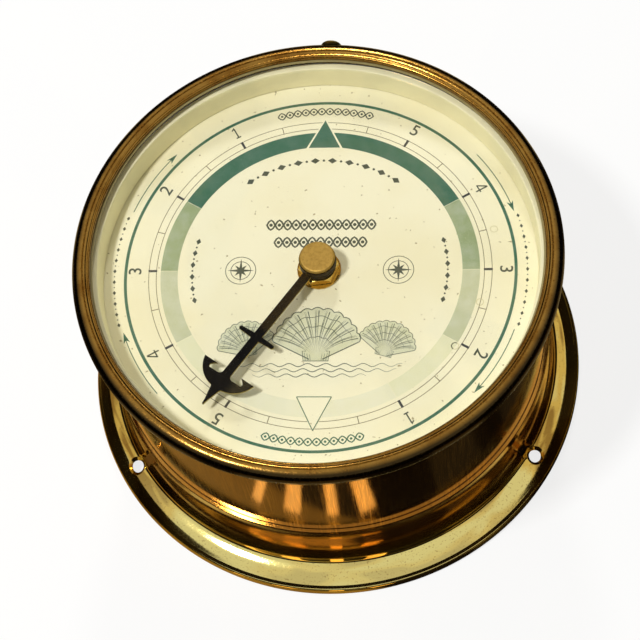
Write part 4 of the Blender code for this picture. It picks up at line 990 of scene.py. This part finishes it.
class TIDE_OT_ornament(bpy.types.Operator):
    """Print the braids, lozenges, stars, scallop shells and water lines"""

    bl_idname = "tide.ornament"
    bl_label = "Ornament"

    def execute(self, context):
        olive = bpy.data.materials["Ink_screened_olive"]
        green = bpy.data.materials["Ink_screened_green"]
        ink_on("print_braid_top", braid(0.0633, -15.5, 15.5), olive)
        ink_on("print_braid_bottom", braid(0.0633, 164.5, 195.5), green)
        for name, radius, start, end, count, size in (("lozenges_top", 0.0432, -36, 36, 10, 0.0016),
                                                      ("lozenges_left", 0.0437, -105, -75, 6, 0.0012),
                                                      ("lozenges_right", 0.0437, 75, 105, 6, 0.0012),
                                                      ("beads_left", 0.0706, -107, -73, 11, 0.0008),
                                                      ("beads_right", 0.0706, 73, 107, 11, 0.0008)):
            ink_on(f"print_{name}", lozenges(radius, start, end, count, size), olive)
        ink_on("print_title_braids", level_braid(0.0176, 13) + level_braid(0.0108, 11), olive)
        ink_on("print_stars", star(-1) + star(1), olive)

        wash = printed_ink("Ink_washed_grey_green", linear("#D6D7B0"), 0.5)
        engraving = printed_ink("Ink_engraved_grey_green", linear("#4C5A48"), 0.25)
        size, spread, ribs = 0.0185, math.radians(66), 11
        grounds, edge = shell_wash(size, spread, ribs)
        lines = shell_lines(edge, size, spread, ribs)
        places = ((0.0, -0.0335, 0.0, 1.0), (-0.0225, -0.0318, 16.0, 0.66), (0.0225, -0.0318, -16.0, 0.66))
        for name, finish, shape in (("print_shell_grounds", wash, join_pieces("ground", grounds)),
                                    ("print_shell_lines", engraving, join_pieces("lines", lines))):
            shells = [copied(shape, Matrix.Translation((x, y, 0.0))
                             @ Matrix.Rotation(math.radians(turn), 4, "Z")
                             @ Matrix.Diagonal((scale, scale, 1.0, 1.0))) for x, y, turn, scale in places]
            bpy.data.objects.remove(shape, do_unlink=True)
            ink_on(name, shells, finish)
        waves = [stroke("water", straight_wave((shift, height), width, 0.0006, 0.0062, phase), 0.0003,
                        SECOND_INK, taper=True)
                 for shift, height, width, phase in ((0.0, -0.0356, 0.058, 0.0), (0.002, -0.0375, 0.050, 0.2),
                                                     (-0.002, -0.0394, 0.038, 0.4))]
        ink_on("print_water_lines", waves, engraving)

        rings = [flat_ring("stain", 0.0012, 0.00028, FIRST_INK, 48, spot)
                 for spot in ((0.0593, 0.0154), (0.0546, -0.0124), (0.0464, -0.0287))]
        ink_on("dried_drops", rings, printed_ink("Water_dried_stain", linear("#DAD2A0"), 0.4))
        return {"FINISHED"}


# The hand

def anchor_line():
    """Return the anchor's outline, with distance along the hand as y: point, flukes, shank and stock."""
    inner = 0.0516
    shank = 0.0016
    stock = 0.0068
    right = smooth_line([(0.00025, 0.0635), (0.0006, 0.0613), (0.00115, 0.0593), (shank, 0.0572)], 3)
    right += arc((0.0008, 0.04683), 0.00965, 0.00964, 83, 13, 16)
    right += smooth_line([(0.0049, 0.0490), (0.0060, 0.0498), (0.0068, 0.0507), (0.0066, inner)], 4)
    right += [(0.0030, inner)]
    right += arc((0.0030, inner - 0.0014), 0.0014, 0.0014, 90, 180, 4)[1:]
    right += [(shank, 0.0352), (stock, 0.0349), (0.0072, 0.0342), (stock, 0.0335), (shank, 0.0332),
              (shank, 0.0053)]
    return right + [(-x, y) for x, y in reversed(right)]


class TIDE_OT_hand(bpy.types.Operator):
    """Model the anchor hand, its hub, the brass cap and the nut under them"""

    bl_idname = "tide.hand"
    bl_label = "Anchor Hand"

    def execute(self, context):
        tones = context.scene.tide_finish
        bore, hub, edge = 0.0026, 0.0063, 0.0003
        blade_bottom = HUB_BOTTOM + 0.0003
        blade_top = blade_bottom + 0.0008
        blade = raise_shape("anchor_hand_blade", anchor_line(), blade_bottom, blade_top, 0.00015)
        blade.data.transform(Matrix.Rotation(HAND_TURN, 4, "Z"))
        sleeve = spin_piece("anchor_hand_hub", [
            (bore, HUB_TOP), (hub - 0.0004, HUB_TOP), (hub, HUB_TOP - 0.0004), (hub, blade_top + 0.0004),
            (hub - 0.0002, blade_top + 0.0002), (hub, blade_top), (hub, HUB_BOTTOM + edge),
            (hub - edge, HUB_BOTTOM), (bore, HUB_BOTTOM)], 96)
        hand = join_pieces("anchor_hand_black", [blade, sleeve])
        upright = [abs(face.normal.z) < 0.4 for face in hand.data.polygons]
        enamel = painted_metal("Enamel_stoved_black", tones.black, 0.42, 0.03 * MM, shine=0.05)
        dress(hand, "hand", enamel, "anchor_hand")
        bare = spun_brass("Brass_sheared_edge", linear("#A39350"), linear("#5E5228"), 0.42, 0.6, 3 * MM,
                          pits=0.2)
        hand.data.materials.append(bare)
        for face, sheared in zip(hand.data.polygons, upright):
            face.material_index = int(sheared and face.center.xy.length > hub + edge)

        # The cap's face has nine turned grooves, and its underside is bored for the tube
        cap_radius, socket = 0.0061, 0.0022
        under = CAP_TOP - 0.0006
        rings = []
        for ring in range(9):
            radius = cap_radius - 0.0008 - ring * 0.0006
            rings += [(radius, CAP_TOP - 0.00002), (radius - 0.0003, CAP_TOP - 0.00007)]
        cap = spin_piece("hub_cap_turned", [
            (cap_radius - 0.0003, under), (cap_radius, CAP_TOP - 0.0005),
            (cap_radius - 0.0001, CAP_TOP - 0.0003), (cap_radius - 0.0005, CAP_TOP),
            (cap_radius - 0.0006, CAP_TOP)] + rings + [
            (0.0, CAP_TOP - 0.00004), (0.0, CAP_BOTTOM), (socket, CAP_BOTTOM), (socket, under)], 128)
        satin = spun_brass("Brass_turned_satin", linear("#B08F48"), linear("#815F27"), 0.34, 0.6, 1.2 * MM,
                           pits=0.3)
        dress(cap, "hand", satin, "hand_cap")

        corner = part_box("hex_nut")[1].x / math.cos(NUT_TURN)
        opening = 0.0044
        above, below = NUT_TOP + 0.001, NUT_BOTTOM - 0.001
        clear_selection()
        bpy.ops.mesh.primitive_cylinder_add(vertices=6, radius=corner, depth=NUT_TOP - NUT_BOTTOM,
                                            location=(0.0, 0.0, (NUT_TOP + NUT_BOTTOM) / 2),
                                            rotation=(0.0, 0.0, NUT_TURN + math.radians(30)))
        nut = context.object
        nut.name = "hub_nut_hexagon"
        bpy.ops.object.transform_apply(location=True, rotation=True, scale=True)
        chamfer = spin_piece("nut_chamfer", [(0.0, above), (corner - 0.0018, above), (corner - 0.0008, NUT_TOP),
                                             (corner + 0.0002, NUT_TOP - 0.0005), (corner + 0.0002, below),
                                             (0.0, below)], 96)
        carve(nut, chamfer, "INTERSECT")
        carve(nut, spin_piece("nut_bore", [(0.0, above), (opening, above), (opening, below), (0.0, below)],
                              64))
        milled = spun_brass("Brass_milled_bright", tones.brass, tones.brass_deep, 0.12, 0.2)
        dress(nut, "case", milled, "hex_nut")
        return {"FINISHED"}


class TIDE_OT_movement(bpy.types.Operator):
    """Give the movement behind the dial its finishes"""

    bl_idname = "tide.movement"
    bl_label = "Movement"

    def execute(self, context):
        finishes = {
            moulded_plastic("ABS_moulded_black", linear("#1B1C1E"), 0.45):
                ("movement_case", "movement_cover", "rubber_washer"),
            moulded_plastic("Acetal_moulded_white", linear("#DEDCD2"), 0.40):
                ("coil_bobbin", "rotor_pinion", "fast_wheel", "third_wheel", "centre_wheel",
                 "intermediate_wheel", "tide_wheel", "set_wheel"),
            bright_steel("Steel_drawn_pins", linear("#B9B9B6"), 0.24, 0.4 * MM):
                ("motion_arbor", "third_arbor", "fast_arbor", "rotor_arbor", "centre_arbor", "quartz_crystal"),
            bright_steel("Steel_rolled_nickelled", linear("#C6C2B4"), 0.30, 0.6 * MM):
                ("positive_contact", "negative_contact", "stator_plate", "coil_core"),
            bright_steel("Magnet_sintered", linear("#6C6A66"), 0.45, 0.5 * MM): ("rotor_magnet",),
            bright_steel("Copper_wound_enamelled", linear("#B4633A"), 0.30, 0.25 * MM): ("coil_winding",),
            moulded_plastic("Laminate_glass_and_epoxy", linear("#1E5A38"), 0.42): ("circuit_board",),
            moulded_plastic("Epoxy_cast_black", linear("#141414"), 0.30): ("chip_seal",),
            painted_metal("Sleeve_printed_cell", linear("#3B4650"), 0.35, 0.01 * MM): ("battery_cell",),
            bpy.data.materials["Brass_milled_bright"]: ("threaded_bush", "dial_washer"),
            bpy.data.materials["Brass_brushed_and_lacquered"]: ("dial_seat_ring",),
        }
        for finish, names in finishes.items():
            for name in names:
                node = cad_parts[name]
                node.data.materials.clear()
                node.data.materials.append(finish)
        return {"FINISHED"}


# The stage

def mirrored_only(piece, finish):
    """Give a stage piece its finish, and let only mirrored rays see it."""
    piece.data.materials.append(finish)
    for ray in ("camera", "diffuse", "transmission", "shadow", "volume_scatter"):
        setattr(piece, f"visible_{ray}", False)


def aimed(spot):
    """Return the turn that faces something at a spot towards the dial's centre."""
    return Vector(spot).to_track_quat("Z", "Y").to_euler()


class TIDE_OT_stage(bpy.types.Operator):
    """Set the camera, the floor, what the brass mirrors, the sky and the lamps"""

    bl_idname = "tide.stage"
    bl_label = "Stage"

    def seen(self, tree):
        """Return 1 for camera, glossy and transmission rays and 0 for the others."""
        seen = 0.0
        for ray in ("Is Camera Ray", "Is Glossy Ray", "Is Transmission Ray"):
            seen = add_node(tree, "Math", 0, {0: seen, 1: add_node(tree, "LightPath", ray, {})},
                            operation="MAXIMUM")
        return seen

    def paper(self):
        """Seamless white paper, matt: it keeps the shadow, and shows white to the eye and in the brass."""
        made, tree, shader, place = start_material("Paper_seamless_white", 0.7)
        cloud = add_node(tree, "TexNoise", "Fac", {"Vector": place, "Scale": 1 / (400 * MM), "Detail": 3.0})
        base = lay_over(tree, linear("#FDFDFC"), linear("#FBFBFA"), cloud, 0.0, 1.0, 1.0)
        fill(tree, shader, {"Base Color": base})
        white = add_node(tree, "Emission", 0, {"Color": (1.0, 1.0, 1.0), "Strength": 1.0})
        share = add_node(tree, "Math", 0, {0: self.seen(tree), 1: 0.8}, operation="MULTIPLY")
        surface = add_node(tree, "MixShader", 0, {0: share, 1: shader.outputs["BSDF"], 2: white})
        fill(tree, tree.nodes["Material Output"], {"Surface": surface})
        return made

    def drape(self):
        """Dark sheet seen only in mirrors, with painted reflections: soft folds and upright bars, straw nearer
        the case and gold close to its rim, and a glow of its own.
        """
        made, tree, shader, place = start_material("Drape_glowing_painted_reflections", 0.9)
        folds = add_node(tree, "TexNoise", "Fac", {"Vector": lathe_place(tree, place, 1.8, 0.0, 2.0),
                                                   "Scale": 1.0, "Detail": 2.0})
        bars = add_node(tree, "TexNoise", "Fac", {"Vector": lathe_place(tree, place, 2.4, 0.0, 0.0),
                                                  "Scale": 1.0, "Detail": 0.0})
        radius = lathe_radius(tree, place)[1]
        sideways = add_node(tree, "SeparateXYZ", "X", {"Vector": place})
        height = add_node(tree, "SeparateXYZ", "Z", {"Vector": place})
        leaning = add_node(tree, "Math", 0, {0: sideways, 1: 0.25, 2: radius}, operation="MULTIPLY_ADD")
        base = linear("#1C150C")
        for tone, pattern, low, high, most in (("#4A3820", folds, 0.44, 0.62, 1.0),
                                               ("#C2AB76", radius, 440 * MM, 360 * MM, 0.9),
                                               ("#20180E", bars, 0.50, 0.53, 0.9),
                                               ("#17110A", radius, 118 * MM, 113 * MM, 0.95),
                                               ("#967539", leaning, 96.0 * MM, 94.5 * MM, 1.0),
                                               ("#1A140D", height, 20 * MM, 200 * MM, 0.85)):
            base = lay_over(tree, base, linear(tone), pattern, low, high, most)
        # Painted light: the sheet glows in its own colour, which lifts it where the case shades it
        fill(tree, shader, {"Base Color": base, "Specular IOR Level": 0.0,
                            "Emission Color": base, "Emission Strength": 0.4})
        return made

    def gold_card(self):
        """Gold faced card that glows by itself, a little uneven: the brass mirrors it as a painted warm
        reflection.
        """
        made, tree, shader, place = start_material("Card_gold_glowing", 0.6)
        cloud = add_node(tree, "TexNoise", "Fac", {"Vector": place, "Scale": 1 / (20 * MM), "Detail": 3.0})
        tone = lay_over(tree, linear("#FFD27A"), linear("#F0A040"), cloud, 0.0, 1.0, 1.0)
        fill(tree, shader, {"Base Color": tone, "Emission Color": tone, "Emission Strength": 1.7})
        return made

    def execute(self, context):
        stage = context.scene.tide_stage
        scene = context.scene
        scene.view_settings.view_transform = "Standard"

        # The place and the turn from which the dial's ticks lie as they do in the photo
        clear_selection()
        facing = Matrix(((0.99571208, 0.00375453, 0.09243031), (0.03716331, 0.89876524, -0.43685229),
                         (-0.08471333, 0.43841412, 0.89477188)))
        bpy.ops.object.camera_add(location=(0.06316, -0.31296, 0.67880), rotation=facing.to_euler())
        scene.camera = context.object
        scene.camera.data.lens = stage.lens
        scene.camera.data.sensor_width = 36.0
        scene.camera.data.clip_start = 0.01

        clear_selection()
        bpy.ops.mesh.primitive_plane_add(size=stage.floor, location=(0.0, 0.0, FOOT - 0.0002))
        floor = context.object
        floor.name = "floor"
        floor.data.materials.append(self.paper())

        # A round of glowing dark sheet under the case that rises at its edge, and a dark square where the glass
        # mirrors the sky, so that glass and hand mirror it as a painted dark reflection
        face, back, rise = -0.00005, -0.00015, 0.62
        drape = spin_piece("dark_drape", [(0.0, face), (0.95, face), (1.05, rise), (1.06, rise), (0.96, back),
                                          (0.0, back)], 96)
        clear_selection()
        spot = (-0.103, 0.512, 1.055)
        bpy.ops.mesh.primitive_plane_add(size=0.46, location=spot, rotation=aimed(spot))
        flag = context.object
        flag.name = "dark_flag"
        reflection_sheet = self.drape()
        mirrored_only(drape, reflection_sheet)
        mirrored_only(flag, reflection_sheet)
        # Four glowing cards before the flange, which the drum's front mirrors as upright bars of painted
        # reflection
        gold = self.gold_card()
        radius, side = 0.1065, 0.026
        for across, width in ((-0.0365, 0.0050), (-0.0180, 0.0085), (0.0030, 0.0060), (0.0210, 0.0090)):
            clear_selection()
            spot = (across, -math.sqrt(radius ** 2 - across ** 2), 0.0016)
            bpy.ops.mesh.primitive_plane_add(size=side, location=spot)
            card = context.object
            card.scale.x = width / side
            card.name = "gold_glowing_card"
            mirrored_only(card, gold)

        scene.world = scene.world or bpy.data.worlds.new("World")
        scene.world.use_nodes = True
        tree = scene.world.node_tree
        seen = self.seen(tree)
        level = add_node(tree, "MapRange", "Result", {"Value": seen, "To Min": stage.sky, "To Max": 1.0})
        tint = lay_over(tree, (1.0, 0.945, 0.80), (1.0, 1.0, 1.0), seen, 0.0, 1.0, 1.0)
        fill(tree, tree.nodes["Background"], {"Color": tint, "Strength": level})

        for name, spot, size, power in (("key", (-0.58, -0.35, 1.50), 0.18, stage.key),
                                        ("rim", (-0.05, 0.95, 0.88), 0.14, 0.22 * stage.key)):
            clear_selection()
            bpy.ops.object.light_add(type="AREA", location=spot)
            lamp = context.object
            lamp.name = name
            lamp.data.size = size
            lamp.data.energy = power
            lamp.rotation_euler = aimed(spot)
        return {"FINISHED"}


OPERATORS = (TIDE_OT_stage, TIDE_OT_flange, TIDE_OT_drum, TIDE_OT_bezel, TIDE_OT_glass, TIDE_OT_dial,
             TIDE_OT_marks, TIDE_OT_ornament, TIDE_OT_hand, TIDE_OT_movement)


class TIDE_PT_panel(bpy.types.Panel):
    """List the operators in the order of making"""

    bl_label = "Tide Clock"
    bl_idname = "TIDE_PT_panel"
    bl_space_type = "VIEW_3D"
    bl_region_type = "UI"
    bl_category = "Tide Clock"

    def draw(self, context):
        for operator in OPERATORS:
            self.layout.operator(operator.bl_idname)


SETTINGS = (("tide_case", CaseSettings), ("tide_dial", DialSettings), ("tide_finish", FinishSettings),
            ("tide_stage", StageSettings))
CLASSES = tuple(kind for _, kind in SETTINGS) + OPERATORS + (TIDE_PT_panel,)


def register():
    """Register the classes and hang the settings on the scene."""
    for kind in CLASSES:
        bpy.utils.register_class(kind)
    for name, kind in SETTINGS:
        setattr(bpy.types.Scene, name, PointerProperty(type=kind))


def unregister():
    """Take the settings and the classes away again."""
    for name, _ in SETTINGS:
        delattr(bpy.types.Scene, name)
    for kind in reversed(CLASSES):
        bpy.utils.unregister_class(kind)


def main():
    """Register the add-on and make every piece."""
    register()
    bpy.ops.tide.stage()
    bpy.ops.tide.flange()
    bpy.ops.tide.drum()
    bpy.ops.tide.bezel()
    bpy.ops.tide.glass()
    bpy.ops.tide.dial()
    bpy.ops.tide.marks()
    bpy.ops.tide.ornament()
    bpy.ops.tide.hand()
    bpy.ops.tide.movement()
    clear_selection()


if __name__ == "__main__":
    main()
